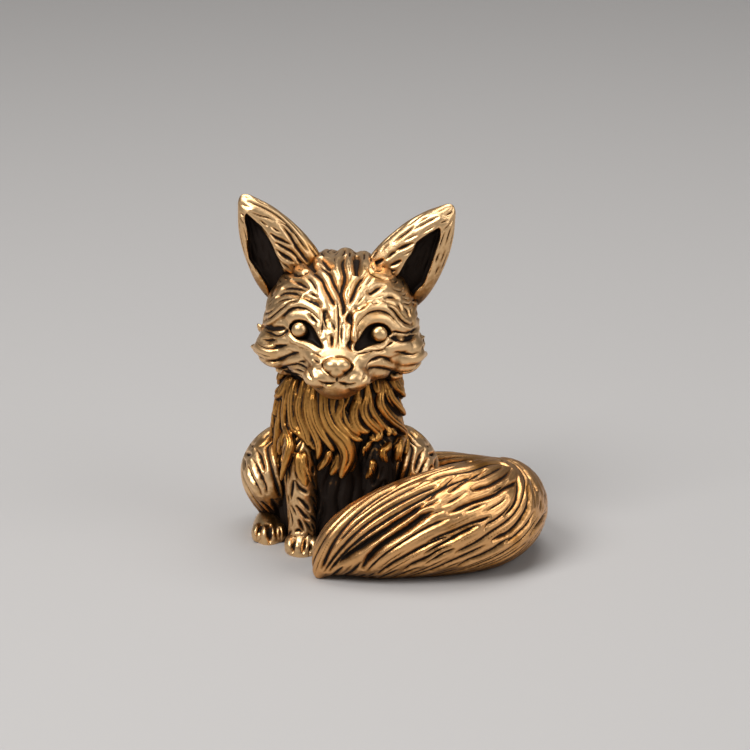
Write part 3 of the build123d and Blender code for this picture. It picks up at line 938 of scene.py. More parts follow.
EAR_LEFT = (
    Line(0.27, 0.26, ((394.5, 251.7), (400.1, 248.5), (407.1, 245.7), (414.8, 242.6))),
    Line(0.24, 0.23, ((389.6, 266.4), (395.9, 263.6), (401.5, 260.5))),
    Line(0.22, 0.2, ((369.2, 265.7), (374.1, 264), (380.1, 261.2), (383.9, 259.1))),
    Line(0.24, 0.16, ((386.1, 259.8), (391.7, 254.1), (398, 250.6))),
    Line(0.2, 0.14, ((370.6, 258.7), (374.1, 254.1), (377.3, 249.6))),
    Line(0.22, 0.13, ((393.1, 243.6), (400.1, 237.3), (408.5, 231), (414.1, 225.4))),
    Line(0.21, 0.12, ((414.1, 230.3), (422.5, 224.7), (431.7, 219.8), (439.4, 216.9))),
    Line(0.18, 0.1, ((404.3, 241.5), (411.3, 237.3), (418.3, 234.5))),
    Line(0.18, 0.13, ((383.2, 268.9), (389.6, 271), (395.9, 271))),
)
HAUNCH = (
    Line(0.4, 0.36, ((254.4, 447.8), (258.3, 454.3), (260.8, 461.2), (262.7, 467.2), (263.4, 473.2))),
    Line(0.4, 0.39, ((250.9, 458.2), (254.8, 465.5), (258.3, 473.2), (262.1, 481.4), (264.7, 487.9))),
    Line(0.38, 0.36, ((247.1, 465.9), (248.6, 473.2), (251.4, 480.1), (256.5, 488.7), (260.8, 496.5))),
    Line(0.29, 0.24, ((260.8, 473.2), (262.7, 480.1), (265.3, 487), (267, 494.8))),
    Line(0.29, 0.2, ((247.1, 440.9), (250.5, 444.8), (253.5, 446.1))),
    Line(0.32, 0.24, ((263.4, 429.7), (259.5, 434), (255.7, 438.4))),
    Line(0.32, 0.26, ((269.9, 430.2), (265.6, 434.5), (262.1, 438.8))),
    Line(0.29, 0.17, ((243.2, 453.4), (243.6, 462), (244.6, 469.8))),
)
FORELEG = (
    Line(0.29, 0.24, ((293.6, 480.1), (291.2, 490.5), (290.1, 499.9))),
    Line(0.32, 0.29, ((294.4, 480.1), (298.7, 487.9), (303.9, 491.5), (308.6, 493.5))),
    Line(0.26, 0.26, ((302, 465.5), (303.9, 475.8), (306.9, 485.7))),
    Line(0.31, 0.27, ((296.6, 497.8), (302.2, 502.5), (307.4, 507.7), (310.8, 511.6))),
    Line(0.31, 0.27, ((295.3, 505.5), (300.5, 512), (305.6, 517.2), (310.8, 520.2))),
    Line(0.29, 0.26, ((298.3, 519.3), (301.1, 525.8), (304.3, 532.7))),
    Line(0.26, 0.26, ((294.4, 532.7), (298.7, 530.8), (302.6, 533.7))),
)
RUFF_LOCKS = (
    Line(0.26, 0, ((277.3, 379.2), (272.7, 387.6), (270.4, 394.5), (272, 398.3))),
    Line(0.22, 0, ((280.4, 383.8), (277.3, 389.9), (273.5, 396.4))),
    Line(0.22, 0, ((286.5, 382.6), (283.8, 388.4), (281.1, 392.6))),
    Line(0.38, 0, ((285, 393), (279.2, 398.3), (274.6, 404.5), (273.5, 411.7))),
    Line(0.34, 0, ((280.2, 412.5), (276.7, 419), (275.6, 428.2), (275.2, 437.4), (276.9, 443.9))),
    Line(0.36, 0, (
        (282.1, 416.7), (281.1, 425.1), (281.1, 435.1), (280.6, 445), (281.1, 455.8), (283.1, 467.2)
    )),
    Line(0.4, 0, (
        (289, 388.4), (287.4, 400.6), (286.7, 412.9), (288, 423.6), (290.5, 434.3), (292.2, 445),
        (290.7, 455.8), (288, 466.5), (285.4, 480.3)
    )),
    Line(0.48, 0, (
        (294.5, 385.3), (293.5, 399.1), (294.5, 412.9), (296.8, 423.6), (300.7, 433.6), (304.1, 442.4)
    )),
    Line(0.42, 0, (
        (301.4, 396), (300.5, 406), (302.2, 415.9), (305.8, 425.1), (308.9, 434.3), (311, 443.5),
        (312.2, 450.4)
    )),
    Line(0.4, 0, (
        (307.9, 406), (309.6, 415.9), (312.9, 425.1), (317.1, 433.6), (319.6, 441.2), (320.3, 449.6),
        (318.3, 458.1)
    )),
    Line(0.46, 0, (
        (313.7, 394.5), (314.1, 404.5), (315.8, 414.4), (318.8, 423.6), (323.6, 432), (328.8, 439.7),
        (334.7, 449.6)
    )),
    Line(0.4, 0, ((299.5, 451.9), (299.7, 460.4), (300.7, 468.8), (303, 477.2), (305.6, 485.6))),
    Line(0.2, 0, ((303.7, 451.2), (304, 456.5), (304.1, 464.2), (306.4, 473.4), (308.9, 481.4))),
    Line(0.3, 0, ((329.8, 448.9), (328.2, 457.3), (323.6, 463.4), (318.3, 468.8))),
    Line(0.34, 0, (
        (347.6, 399.1), (341.9, 406), (337.9, 412.9), (338.4, 419.8), (343.4, 427.4), (349.5, 433.6),
        (355.7, 437.4), (361.4, 438.1)
    )),
    Line(0.28, 0, ((343.4, 414.4), (348, 422.1), (353, 428.2), (359.1, 434.3))),
    Line(0.85, 0, (
        (325.8, 412.9), (330.4, 423.6), (336.5, 432), (342.7, 438.9), (346.5, 446.6), (347.6, 455),
        (345, 464.9), (340.7, 477.2)
    )),
    Line(0.38, 0, (
        (356.4, 400.6), (353.6, 409.1), (353.8, 417.5), (356.8, 425.1), (361.8, 429.3), (367.9, 430.5)
    )),
    Line(0.44, 0, (
        (364.9, 396.8), (362.2, 406), (363.3, 414.4), (367.9, 422.1), (373.7, 428.2), (377.9, 433.9),
        (378.3, 438.9), (375.6, 443.1)
    )),
    Line(0.36, 0, (
        (368.7, 398.3), (369.1, 406.8), (372.1, 414.4), (377.3, 422.1), (382.6, 428.2), (386.5, 433.6),
        (385.2, 438.1)
    )),
    Line(0.44, 0, (
        (380.9, 391.4), (378.8, 400.6), (381.1, 408.3), (385.7, 415.9), (391, 422.1), (396.3, 427),
        (399.5, 432), (398.6, 438.9), (395.1, 444.7)
    )),
    Line(0.44, 0, ((386.3, 388.4), (388.6, 396.8), (393.2, 404.5), (397.9, 411.7), (401.2, 417.5))),
    Line(0.38, 0, ((393.2, 386.8), (398.6, 395.3), (402.5, 402.2), (405.3, 409.8), (405.4, 419))),
    Line(0.3, 0, ((405.8, 411.3), (404.8, 423.6), (403.1, 435.1), (401, 446.6), (398.4, 454.2))),
    Line(0.36, 0, ((399.7, 435.1), (395.9, 442.7), (394, 450.4), (393.3, 461.9))),
    Line(0.2, 0, ((369.1, 434.3), (371.1, 440.4), (369.1, 447.3), (365.6, 451.3), (360.7, 454.2))),
    Line(0.3, 0, ((388.2, 443.1), (384.9, 448.9), (381.2, 451.3), (382.5, 456.5), (384.4, 462.6))),
    Line(0.28, 0, ((372.5, 458.8), (373.7, 465.7), (371.9, 472.6), (369.1, 478))),
    Line(0.34, 0, ((404.3, 383.8), (407.4, 389.9), (408.1, 397.6), (407, 406))),
)
TAIL = (
    Line(0.6, 0.62, (
        (425.2, 501.1), (415.4, 508.5), (406.4, 515), (395.7, 521.9), (386.8, 529), (377.9, 535.5),
        (368, 542), (360, 548), (352, 553.1), (343, 560.7), (336.8, 567)
    )),
    Line(0.6, 0.64, (
        (435, 510.7), (423.4, 515.6), (415.4, 521.4), (408.2, 527.5), (399.3, 533.8), (390.4, 539.7),
        (381.4, 546.4), (374.3, 553.1), (368, 560.7), (362.7, 570.5)
    )),
    Line(0.36, 0.33, (
        (452.9, 535.7), (440, 540.2), (426.1, 546.4), (417.1, 551.1), (406.4, 557.1), (395.7, 562.9),
        (386.8, 568.9), (377.9, 574.6)
    )),
    Line(0.36, 0.36, (
        (452.9, 545.5), (440, 551.3), (430.5, 557.1), (422.5, 561.2), (412.7, 565.6), (403.8, 570.7)
    )),
    Line(0.3, 0.29, ((443.9, 485.7), (435, 492), (429.6, 497.8), (420.7, 503.6))),
    Line(0.3, 0.3, ((448.7, 492.8), (455.4, 486.5), (464.3, 479.8), (475, 474.9), (486.6, 467.8))),
    Line(0.29, 0.27, ((426.3, 498.1), (433, 491.4), (442, 486.1), (449.6, 479.4), (456.2, 474))),
    Line(0.32, 0.27, ((434.8, 466.9), (451.8, 461.1), (465.2, 458.6), (483, 456.2))),
    Line(0.33, 0.29, (
        (458, 463.9), (471.4, 460), (487.5, 457.5), (503.6, 457.5), (516.1, 461.5), (525, 469.1),
        (533, 480.7), (538.4, 491.4)
    )),
    Line(0.3, 0.26, (
        (425.9, 480.3), (440.2, 474.5), (454.5, 471.8), (467.9, 469.6), (478.6, 466.4), (488.4, 462.9),
        (500.9, 462.4), (510.7, 466.4)
    )),
    Line(0.33, 0.32, (
        (471.4, 490.1), (480.4, 487), (489.3, 484.3), (498.2, 479.4), (505.4, 474.5), (512.1, 467.3)
    )),
    Line(0.35, 0.35, (
        (447.3, 513.9), (460.7, 507.5), (473.2, 502.1), (485.7, 497.9), (496.4, 493.4), (505.4, 487.1),
        (514.3, 482.9), (519.2, 478)
    )),
    Line(0.29, 0.24, ((462.5, 513.3), (475, 507.5), (486.6, 503))),
    Line(0.22, 0.15, ((425, 516.4), (433.9, 513.3), (444.6, 510.6))),
    Line(0.24, 0.22, (
        (515.2, 496.8), (509.8, 506.6), (503.6, 513.8), (495.5, 520), (487.5, 524.6), (483.5, 531.2)
    )),
    Line(0.33, 0.32, ((517.9, 474.5), (518.9, 487), (517.1, 500.4), (511.6, 509.7), (503.6, 516.9))),
    Line(0.37, 0.41, (
        (529, 484.3), (529.9, 498.6), (527.7, 509.3), (522.3, 519.1), (515.2, 528), (508, 534.3),
        (500, 537.9), (491.1, 542.3)
    )),
    Line(0.32, 0.27, ((535.3, 511.1), (529, 523.6), (521.4, 531.8), (513.4, 538.9), (504.5, 545.9))),
    Line(0.3, 0.26, ((547.8, 511.1), (542.1, 520.4), (535.7, 529.4), (529.5, 538.8))),
    Line(0.37, 0.38, (
        (514.3, 537), (501.8, 545), (492.9, 551.2), (482.1, 556.6), (469.6, 561.5), (458, 566.9)
    )),
    Line(0.33, 0.3, (
        (423.2, 545), (438.4, 537.9), (454.5, 531.4), (469.6, 524.5), (483, 520.2), (491.1, 516.4)
    )),
    Line(0.37, 0.43, (
        (423.2, 555.7), (435.7, 548.6), (447.3, 542.3), (458.9, 535.4), (469.6, 529.8), (479.5, 524.9)
    )),
    Line(0.33, 0.3, ((425, 565.1), (435.7, 559.3), (445.5, 553.5), (455.4, 549))),
    Line(0.27, 0.2, ((487.5, 495), (498.2, 488.8), (508.9, 480.7))),
    Line(0.24, 0.17, ((482.1, 512.9), (492.9, 507.5), (502.7, 501.2), (508, 495))),
    Line(0.38, 0.34, (
        (321, 571), (326, 555), (334, 539), (347, 522), (362, 507), (380, 494), (398, 484)
    )),
    Line(0.36, 0.3, ((324, 573), (335, 556), (350, 538), (368, 522), (390, 507), (415, 494), (440, 484))),
    Line(0.42, 0.38, (
        (329, 573), (346, 552), (367, 533), (392, 516), (420, 499), (448, 484), (474, 474)
    )),
    Line(0.3, 0.22, ((340, 560), (362, 542), (388, 526), (416, 510), (440, 500))),
)
PAWS = (
    Line(0.19, 0.24, ((294.8, 534.4), (293.7, 544.7), (292.3, 554.2))),
    Line(0.25, 0.39, ((306.5, 535.2), (304.3, 544.7), (302.6, 554.2))),
    Line(0.16, 0.21, ((310.1, 543), (310.1, 549.9), (308.9, 556.8))),
    Line(0.21, 0.29, ((261.3, 525.3), (257.7, 533.5), (256.5, 544.3))),
    Line(0.25, 0.36, ((269.6, 524.1), (269.6, 535.2), (269.9, 545.6))),
    Line(0.19, 0.24, ((279.8, 526.6), (280.5, 535.2), (279.8, 543.9))),
)
BROWS = (
    Line(0.58, 0.42, (
        (266, 322), (272, 318), (279, 312.5), (285, 307.5), (291, 304.3), (299.5, 303.2), (307, 304.5),
        (313.5, 308.5), (318.5, 313.5), (321.5, 320), (323, 330)
    )),
    Line(0.56, 0.26, (
        (287, 320), (292, 316), (299, 314.3), (306, 315.5), (311.5, 319.5), (316, 326), (319, 333),
        (322, 341)
    )),
    Line(0.58, 0.42, (
        (353, 343), (352, 335), (354, 325), (357.5, 317), (363, 311.5), (370, 307.6), (378, 306.6),
        (386, 308), (393, 312), (398.5, 318), (404, 323.5), (412, 327.5)
    )),
    Line(0.56, 0.26, (
        (361, 331), (363, 325), (367, 320.5), (373, 318), (380, 317.7), (387, 319.5), (392, 324),
        (397, 329), (404, 331), (411, 329.5)
    )),
    Line(0.4, 0.28, ((288, 332), (292.5, 337), (298, 342), (306, 344), (313, 347), (321, 352))),
    Line(0.38, 0.26, (
        (356, 354), (362, 353), (369, 349.5), (376, 348), (383, 345), (388, 340), (394, 338.5)
    )),
)
CHEEK_LOCKS = (
    Line(0.32, 0, ((278, 334), (269, 333.5), (261.5, 330.5), (257, 323))),
    Line(0.4, 0, ((292, 342), (280, 340), (268, 338.5), (259, 336.5))),
    Line(0.52, 0, ((300, 349), (285, 352), (270, 352.3), (258, 349), (250.8, 344.8))),
    Line(0.48, 0, ((304, 357), (292, 361), (279, 364.3), (266, 364.3))),
    Line(0.42, 0, ((302, 375), (294, 373.5), (284, 371.5), (275, 369.5))),
    Line(0.26, 0, ((398, 331), (408, 333), (416, 335), (422, 333))),
    Line(0.58, 0, ((384, 347.5), (398, 346.5), (411, 345), (420, 342.5), (425, 335.5))),
    Line(0.5, 0, ((378, 354), (393, 358), (407, 359), (419, 356.8), (428.3, 353))),
    Line(0.52, 0, ((370, 366.5), (381, 364), (391, 367.5), (401, 369.8), (411, 369.5), (415.5, 365.5))),
    Line(0.42, 0, ((374, 374.5), (384, 375), (395, 377.5), (404, 376.5))),
)
MOUTH = (
    Line(0.28, 0.32, ((317.7, 380.6), (323, 384), (328.6, 385), (333, 384.3), (336.8, 382.2))),
    Line(0.28, 0.32, ((336.8, 382.2), (341, 384), (346, 385.6), (351, 385.5), (357, 383.4))),
    Line(0.24, 0.26, ((336.8, 377.5), (336.8, 380), (336.8, 384))),
)
CHEEKBONES = (
    Line(0.8, 0.26, (
        (270, 337.5), (280, 338.5), (290, 341), (300, 345.5), (309, 352), (316, 360), (320, 368)
    )),
    Line(0.75, 0.24, (
        (412, 346), (400, 347.5), (388, 350.5), (376, 354.5), (366, 359), (359, 366), (356, 374)
    )),
)
NOSE_EDGE = (
    Line(0.26, 0.34, (
        (334, 357.3), (329, 359.6), (325.5, 362.6), (324.3, 366), (327, 370.3), (331.5, 375),
        (336.3, 379.5)
    )),
    Line(0.26, 0.34, (
        (335, 357.3), (341, 358), (346.5, 360), (350.5, 363.2), (352, 366.5), (349, 371.3), (344, 375.3),
        (337.5, 379.7)
    )),
)
SOCKET_RIGHT = (
    (289, 324.5), (294, 321.2), (300, 319.8), (307, 321), (313, 326), (317, 333), (320.5, 340),
    (323.5, 346.5), (322.5, 350), (317, 347.5), (311, 343.5), (305, 341.5), (299, 340.5), (295, 337.5),
    (291.5, 333), (288.5, 330),
)
SOCKET_LEFT = (
    (353, 347), (356.5, 341), (361, 334), (364.5, 328.5), (369, 325), (376, 323), (383, 324),
    (388.5, 327.5), (391.5, 331.5), (393, 334.5), (389.5, 335.8), (385.5, 338), (381.5, 342.3),
    (374, 345), (366, 348.3), (361, 351.5), (355, 351.5),
)
CONCH_RIGHT = (
    (246, 212.5), (244.4, 218.6), (247, 233.9), (247.3, 249.2), (249, 259.5), (255.2, 268.7),
    (260.9, 277.5), (266.6, 286.7), (270.8, 297.4), (277, 292.8), (286.1, 283.6), (293.8, 276),
    (284.6, 271.4), (281.6, 264.5), (277, 255.3), (273.1, 246.1), (267.8, 236.2), (261.7, 227),
    (255.5, 220.9),
)
CONCH_LEFT = (
    (440.1, 226.8), (432.4, 231), (425.4, 235.9), (416.2, 241.9), (414.1, 247.8), (409.9, 254.8),
    (405, 262.6), (400.1, 271), (395.2, 278), (388.2, 279.4), (394.5, 286.4), (404.3, 296.2),
    (411.3, 304.7), (413.4, 296.2), (417.3, 290.6), (423.6, 284.3), (428.2, 273.8), (431.7, 264.7),
    (435.2, 254.1), (438.7, 243.6), (440.8, 237.3),
)


def laid(skin: Skin, lines: Iterable[Line]) -> list[Groove]:
    """Lines laid on a skin, ready to carve, wider where the skin is seen at a slant.

    Args:
        skin: The skin.
        lines: The lines.

    Returns:
        A groove for each line.
    """
    wider, deeper, most_slanted = 1.35, 1.25, 0.45  # of the traced sizes, and the least cosine that counts
    ahead = VIEW.axes()[2]
    grooves = []
    for line in lines:
        trail = skin.trail(line.points)
        slant = 1.0 if trail is None else max(most_slanted, float(np.abs(trail.outward @ ahead).mean()))
        grooves.append((trail, wider * line.half_width / slant**0.7, deeper * line.depth / slant**0.4))
    return grooves


def falling(lean: float, wave: float, pitch: float = 1.1) -> Flow:
    """Fur that falls down a form in waves.

    Args:
        lean: How far it spreads sideways, away from the middle, as it falls.
        wave: How far it sways round its fall, in radians.
        pitch: How fast it sways.

    Returns:
        The flow.
    """

    def flow(places: np.ndarray, outward: np.ndarray) -> np.ndarray:
        """The fur's way at some places."""
        across = unit(np.cross(outward, (0.0, 0.0, 1.0)) + 1e-6)
        down = np.cross(across, outward) * -1.0
        down *= np.where(down[:, 2:] > 0, -1.0, 1.0)
        turn = lean * np.sign(places[:, :1] * across[:, :1]) + wave * np.sin(
            pitch * places[:, 2:] + 0.9 * places[:, :1]
        )
        return down * np.cos(turn) + across * np.sin(turn)

    return flow


@dataclass
class Torso:
    """Rump, back and chest under the fur, up to the neck."""

    height: float = 19.5
    half_width: float = 7.0
    half_depth: float = 7.3
    lean: float = 2.5
    rows: Rows = (
        (0.00, 0.84, 0.88, 0.00),
        (0.08, 0.96, 0.97, 0.00),
        (0.25, 1.00, 1.00, 0.05),
        (0.45, 0.93, 0.86, 0.45),
        (0.65, 0.86, 0.73, 0.95),
        (0.85, 0.83, 0.68, 1.00),
        (1.00, 0.62, 0.56, 0.85),
    )
    ridges: int = 14
    ridge_share: float = 0.055
    sway: float = 4.0
    square: float = 0.13
    waves: Pair = (0.12, 0.34)  # the spread and the sway of its fall
    strands: Strands = Strands(0.86, 14.0, 0.52, (0.24, 0.42))
    combed_heights: Pair = (0.4, 18.6)
    taper: float = 1.3
    chest_patina_and_shade: float = 1.6  # how much patina and painted shade the chest takes, under the ruff and between the legs
    chest_back: float = 0.8  # where the chest's patina and painted shade start
    chest_fade: float = 1.3

    def bare(self) -> Skin:
        """Makes the torso with the coat in bundles down its back, before any strand is carved."""
        rings = []
        for height, width, depth, lean in smooth_rows(self.rows, 5):
            middle = np.array([0, -self.lean * lean, self.height * height])
            across = np.array([self.half_width * width, 0, 0])
            ahead = np.array([0, self.half_depth * depth, 0])
            fur = self.ridge_share * min(1, (1 - height) / 0.35)
            turn = self.sway * math.sin(2 * math.pi * height)
            rings.append(furred_ring(middle, across, ahead, 1.0, self.ridges, fur, turn))
        skin = Skin("torso_coat", [rolled(np.array(rings))], self.square)
        skin.relax(4)
        return skin

    def carve(self, skin: Skin) -> None:
        """Carves wavy strands all over the bare torso."""
        draw = random.Random(SEED)
        low, high = self.combed_heights
        flow = falling(*self.waves)
        trails = skin.comb(flow, [], self.strands, draw, lambda place, _: low < place[2] < high)
        skin.carve(self.strands.grooves(trails, draw), self.taper)
        # patina and painted shade, darker towards the front of the chest, under the ruff
        ahead = np.clip((self.chest_back - skin.places[:, 1]) / self.chest_fade, 0, 1)
        skin.mark = np.maximum(skin.mark, self.chest_patina_and_shade * ahead)


@dataclass
class Head:
    """Skull, muzzle, brows, cheek locks and the carved forehead."""

    height: float = 12.5
    half_width: float = 7.7
    length: float = 17.7
    back: float = 5.3
    base: float = 16.8
    roll: float = 2.3
    yaw: float = -2.0
    lean: float = 2.5
    rows: Rows = (
        (0.000, 0.08, 0.56, 0.06, 0.06),
        (0.025, 0.34, 0.56, 0.21, 0.21),
        (0.095, 0.64, 0.55, 0.35, 0.33),
        (0.220, 0.87, 0.52, 0.45, 0.42),
        (0.400, 0.99, 0.49, 0.51, 0.44),
        (0.560, 1.00, 0.44, 0.54, 0.39),
        (0.680, 0.90, 0.39, 0.51, 0.34),
        (0.760, 0.69, 0.34, 0.42, 0.30),
        (0.820, 0.50, 0.29, 0.32, 0.28),
        (0.890, 0.36, 0.25, 0.21, 0.24),
        (0.960, 0.25, 0.24, 0.13, 0.16),
        (1.000, 0.09, 0.25, 0.05, 0.06),
    )
    ridges: int = 10
    ridge_share: float = 0.07
    pad: Triple = (0.225, 0.915, 0.205)
    pad_sizes: Triple = (1.55, 1.50, 1.10)
    chin: Triple = (0.0, 0.87, 0.095)
    chin_sizes: Triple = (1.50, 1.15, 1.05)
    cheek: Triple = (0.81, 0.60, 0.285)
    cheek_sizes: Triple = (2.1, 2.5, 2.0)
    lock_share: float = 1.45  # of a cheek line's half width, that its lock has
    lock_lift: Pair = (-0.15, -0.05)
    socket_depth: float = 0.85
    socket_wall: float = 0.28
    bare_square: float = 0.16
    square: float = 0.108
    strands: Strands = Strands(0.60, 9.0, 0.42, (0.22, 0.38))
    face_strands: Strands = Strands(0.56, 4.5, 0.30, (0.10, 0.20))  # between the listed lines
    traced_face: tuple[float, ...] = (338, 322, 78, 66)  # its middle and half sizes in the frame
    eyes_seen: tuple[Pair, ...] = ((301, 332), (379, 335))
    eye_clear: float = 17.0  # round each eye, in the frame's points
    muzzle: Triple = (0, 0.97, 0.25)
    muzzle_clear: float = 3.4

    def turned(self, places: np.ndarray) -> np.ndarray:
        """Places of the upright head, after it is turned on the neck."""
        neck = np.array([0, -self.lean, self.base])
        roll, yaw = math.radians(self.roll), math.radians(self.yaw)
        (c, s), (k, t) = ((math.cos(angle), math.sin(angle)) for angle in (roll, yaw))
        about_y = np.array([[c, 0, s], [0, 1, 0], [-s, 0, c]])
        about_z = np.array([[k, -t, 0], [t, k, 0], [0, 0, 1]])
        return neck + (places - neck) @ (about_y @ about_z).T

    def place(self, side: float, back: float, height: float) -> np.ndarray:
        """A place of the turned head, from shares of its sizes."""
        across, ahead = self.half_width * side, self.back - self.length * back
        return self.turned(np.array((across, ahead, self.base + self.height * height)))

    def both_sides(self, spot: Triple, sizes: Triple) -> list[bmesh.types.BMesh]:
        """Two equal lumps, one on each side of the head, from a place in shares of its sizes."""
        return [ball(self.place(side * spot[0], *spot[1:]), sizes) for side in (-1, 1)]

    def skull(self) -> bmesh.types.BMesh:
        """The bare skull and muzzle, with bundles of fur over the crown."""
        rings = []
        for back, width, middle, rise, drop in smooth_rows(self.rows, 4):
            centre = np.array([0, self.back - self.length * back, self.base + self.height * middle])
            across = np.array([self.half_width * width, 0, 0])
            up = np.array([0, 0, self.height * rise])
            fur = self.ridge_share * min(1.0, max(0.0, (0.62 - back) / 0.3))
            rings.append(self.turned(furred_ring(centre, across, up, drop / rise, self.ridges, fur)))
        return rolled(np.array(rings))

    def build(self) -> Skin:
        """Makes the head."""
        pads = self.both_sides(self.pad, self.pad_sizes)
        chin = ball(self.place(*self.chin), self.chin_sizes)
        cheeks = self.both_sides(self.cheek, self.cheek_sizes)
        bare = Skin("bare_head", [self.skull(), *cheeks], self.bare_square)
        bare.relax(2)
        locks = []
        for line in CHEEK_LOCKS:
            trail = bare.trail(line.points, past=True)
            wide = self.lock_share * line.half_width
            locks.append(lock_form(trail, wide, 0.55 * wide, self.lock_lift, 0.6, 4.0))
        cheeks = self.both_sides(self.cheek, self.cheek_sizes)
        skin = Skin("head_carved", [self.skull(), *cheeks, *pads, chin, *locks], self.square)
        skin.relax(3)
        for line in (*BROWS, *CHEEKBONES):
            skin.raise_ridge(skin.trail(line.points), line.half_width, line.depth)
        skin.face_out()
        for outline in (SOCKET_RIGHT, SOCKET_LEFT):
            skin.sink(outline, self.socket_depth, self.socket_wall)
        skin.remake()
        skin.relax(2)
        guides = laid(skin, (*FOREHEAD, *EYE_FOLDS, *MOUTH, *NOSE_EDGE))
        ridges = [skin.trail(line.points) for line in (*BROWS, *CHEEK_LOCKS, *CHEEKBONES)]
        draw = random.Random(SEED + 1)
        held = [*(row[0] for row in guides), *ridges]
        trails = skin.comb(self.flow, held, self.strands, draw, self.coat)
        fine = skin.comb(self.flow, [*held, *trails], self.face_strands, draw, self.face)
        strands = [*self.strands.grooves(trails, draw), *self.face_strands.grooves(fine, draw)]
        skin.carve([*guides, *strands])
        return skin

    def flow(self, places: np.ndarray, outward: np.ndarray) -> np.ndarray:
        """The fur's way: from the nose over the face and crown, and down the nape."""
        nose = self.place(0, 1.0, 0.32)
        away = unit(places - nose)
        behind = np.clip((places[:, 1:2] + 1.0) / 5.0, 0, 1)
        sway = 0.28 * np.sin(1.2 * places[:, 2:] + 1.7 * places[:, 1:2])
        wave = 0.42 * behind * np.sin(0.9 * places[:, 2:] + 1.1 * places[:, :1])
        nape = np.concatenate([wave + 0.06 * places[:, :1], 0 * wave, -np.ones_like(wave)], 1)
        return away * (1 - behind) + nape * behind + np.cross(outward, away) * sway

    def furred(self, place: np.ndarray, outward: np.ndarray) -> bool:
        """Whether combed strands cover a place: not on the muzzle, the eyes or under the chin."""
        muzzle = self.place(*self.muzzle)
        if np.linalg.norm(place - muzzle) < self.muzzle_clear or outward[2] < -0.75:
            return False
        seen = VIEW.seen(place[None])[0]
        behind = place[1] > -3.0
        return behind or all(np.linalg.norm(seen - eye) > self.eye_clear for eye in self.eyes_seen)

    def coat(self, place: np.ndarray, outward: np.ndarray) -> bool:
        """Whether a place has the coat's strands, which end where the face's begin."""
        return self.furred(place, outward) and not self.traced(place, outward)

    def face(self, place: np.ndarray, outward: np.ndarray) -> bool:
        """Whether a place has the face's strands."""
        return self.furred(place, outward) and self.traced(place, outward)

    def traced(self, place: np.ndarray, outward: np.ndarray) -> bool:
        """Whether a place is on the face, where the listed lines are laid."""
        across, down, half_width, half_height = self.traced_face
        seen = VIEW.seen(place[None])[0]
        near = ((seen[0] - across) / half_width) ** 2 + ((seen[1] - down) / half_height) ** 2 < 1
        return bool(near and outward @ VIEW.axes()[2] < 0.1)


@dataclass
class Ear:
    """A leaf-shaped cup with locks of fur inside, given for one side."""

    side: int
    conch: tuple[Pair, ...]
    grooves: tuple[Line, ...]
    length: float = 11.45
    half_width: float = 3.5
    half_depth: float = 1.7
    splay: float = 33.5
    sunk: float = 1.6  # how deep its root is in the skull
    seat: Triple = (0.64, 0.355, 0.755)  # in shares of the upright head's sizes
    conch_depth: float = 1.5
    conch_wall: float = 0.22
    square: float = 0.10
    back_strands: Strands = Strands(0.85, 4.5, 0.42, (0.10, 0.20))
    front_strands: Strands = Strands(0.50, 3.6, 0.28, (0.08, 0.17))
    bare_root: float = 0.8  # the height over the root where the front's strands start
    patina: float = 0.2
    rows: Rows = (
        (0.00, 0.84),
        (0.13, 0.97),
        (0.27, 1.00),
        (0.44, 0.93),
        (0.64, 0.76),
        (0.80, 0.53),
        (0.91, 0.31),
        (0.97, 0.18),
        (1.00, 0.05),
    )

    def build(self, head: Head) -> Skin:
        """Makes the ear.

        Args:
            head: The head that carries it.

        Returns:
            The ear's skin.
        """
        name = "left" if self.side > 0 else "right"
        side, back, height = self.seat
        place = (head.half_width * self.side * side, head.back - head.length * back)
        root = np.array([*place, head.base + head.height * height])
        lean = math.radians(self.splay) * self.side
        up = np.array([math.sin(lean), 0, math.cos(lean)])
        across = np.array([math.cos(lean), 0, -math.sin(lean)])
        rings = []
        for along, width in smooth_rows(self.rows, 4):
            middle = root + up * (self.length * along - self.sunk)
            depth = self.half_depth * (1 + width) / 2 * min(1, 2.5 * width) * min(1, 0.72 + 1.6 * along)
            ring = oval_ring(middle, across * self.half_width * width, np.array([0, depth, 0]))
            rings.append(head.turned(ring))
        skin = Skin(f"ear_{name}_cup", [rolled(np.array(rings))], self.square)
        skin.relax(2)
        skin.sink(self.conch, self.conch_depth, self.conch_wall)
        skin.remake()
        skin.relax(1)
        guides = laid(skin, self.grooves)
        draw = random.Random(SEED + 5)

        def straight(way: np.ndarray) -> Flow:
            """Fur that runs one way all over the ear."""
            turned = head.turned(way) - head.turned(np.zeros(3))
            return lambda places, _: np.tile(turned, (len(places), 1))

        behind = skin.comb(straight(up), [], self.back_strands, draw, lambda _, outward: outward[1] > 0.1)
        fine = skin.comb(
            straight(up - 0.3 * across * self.side), [row[0] for row in guides], self.front_strands, draw,
            lambda place, outward: outward[1] < -0.3 and place[2] > root[2] + self.bare_root,
        )
        strands = [*self.back_strands.grooves(behind, draw), *self.front_strands.grooves(fine, draw)]
        skin.carve([*guides, *strands])
        skin.mark += self.patina
        return skin


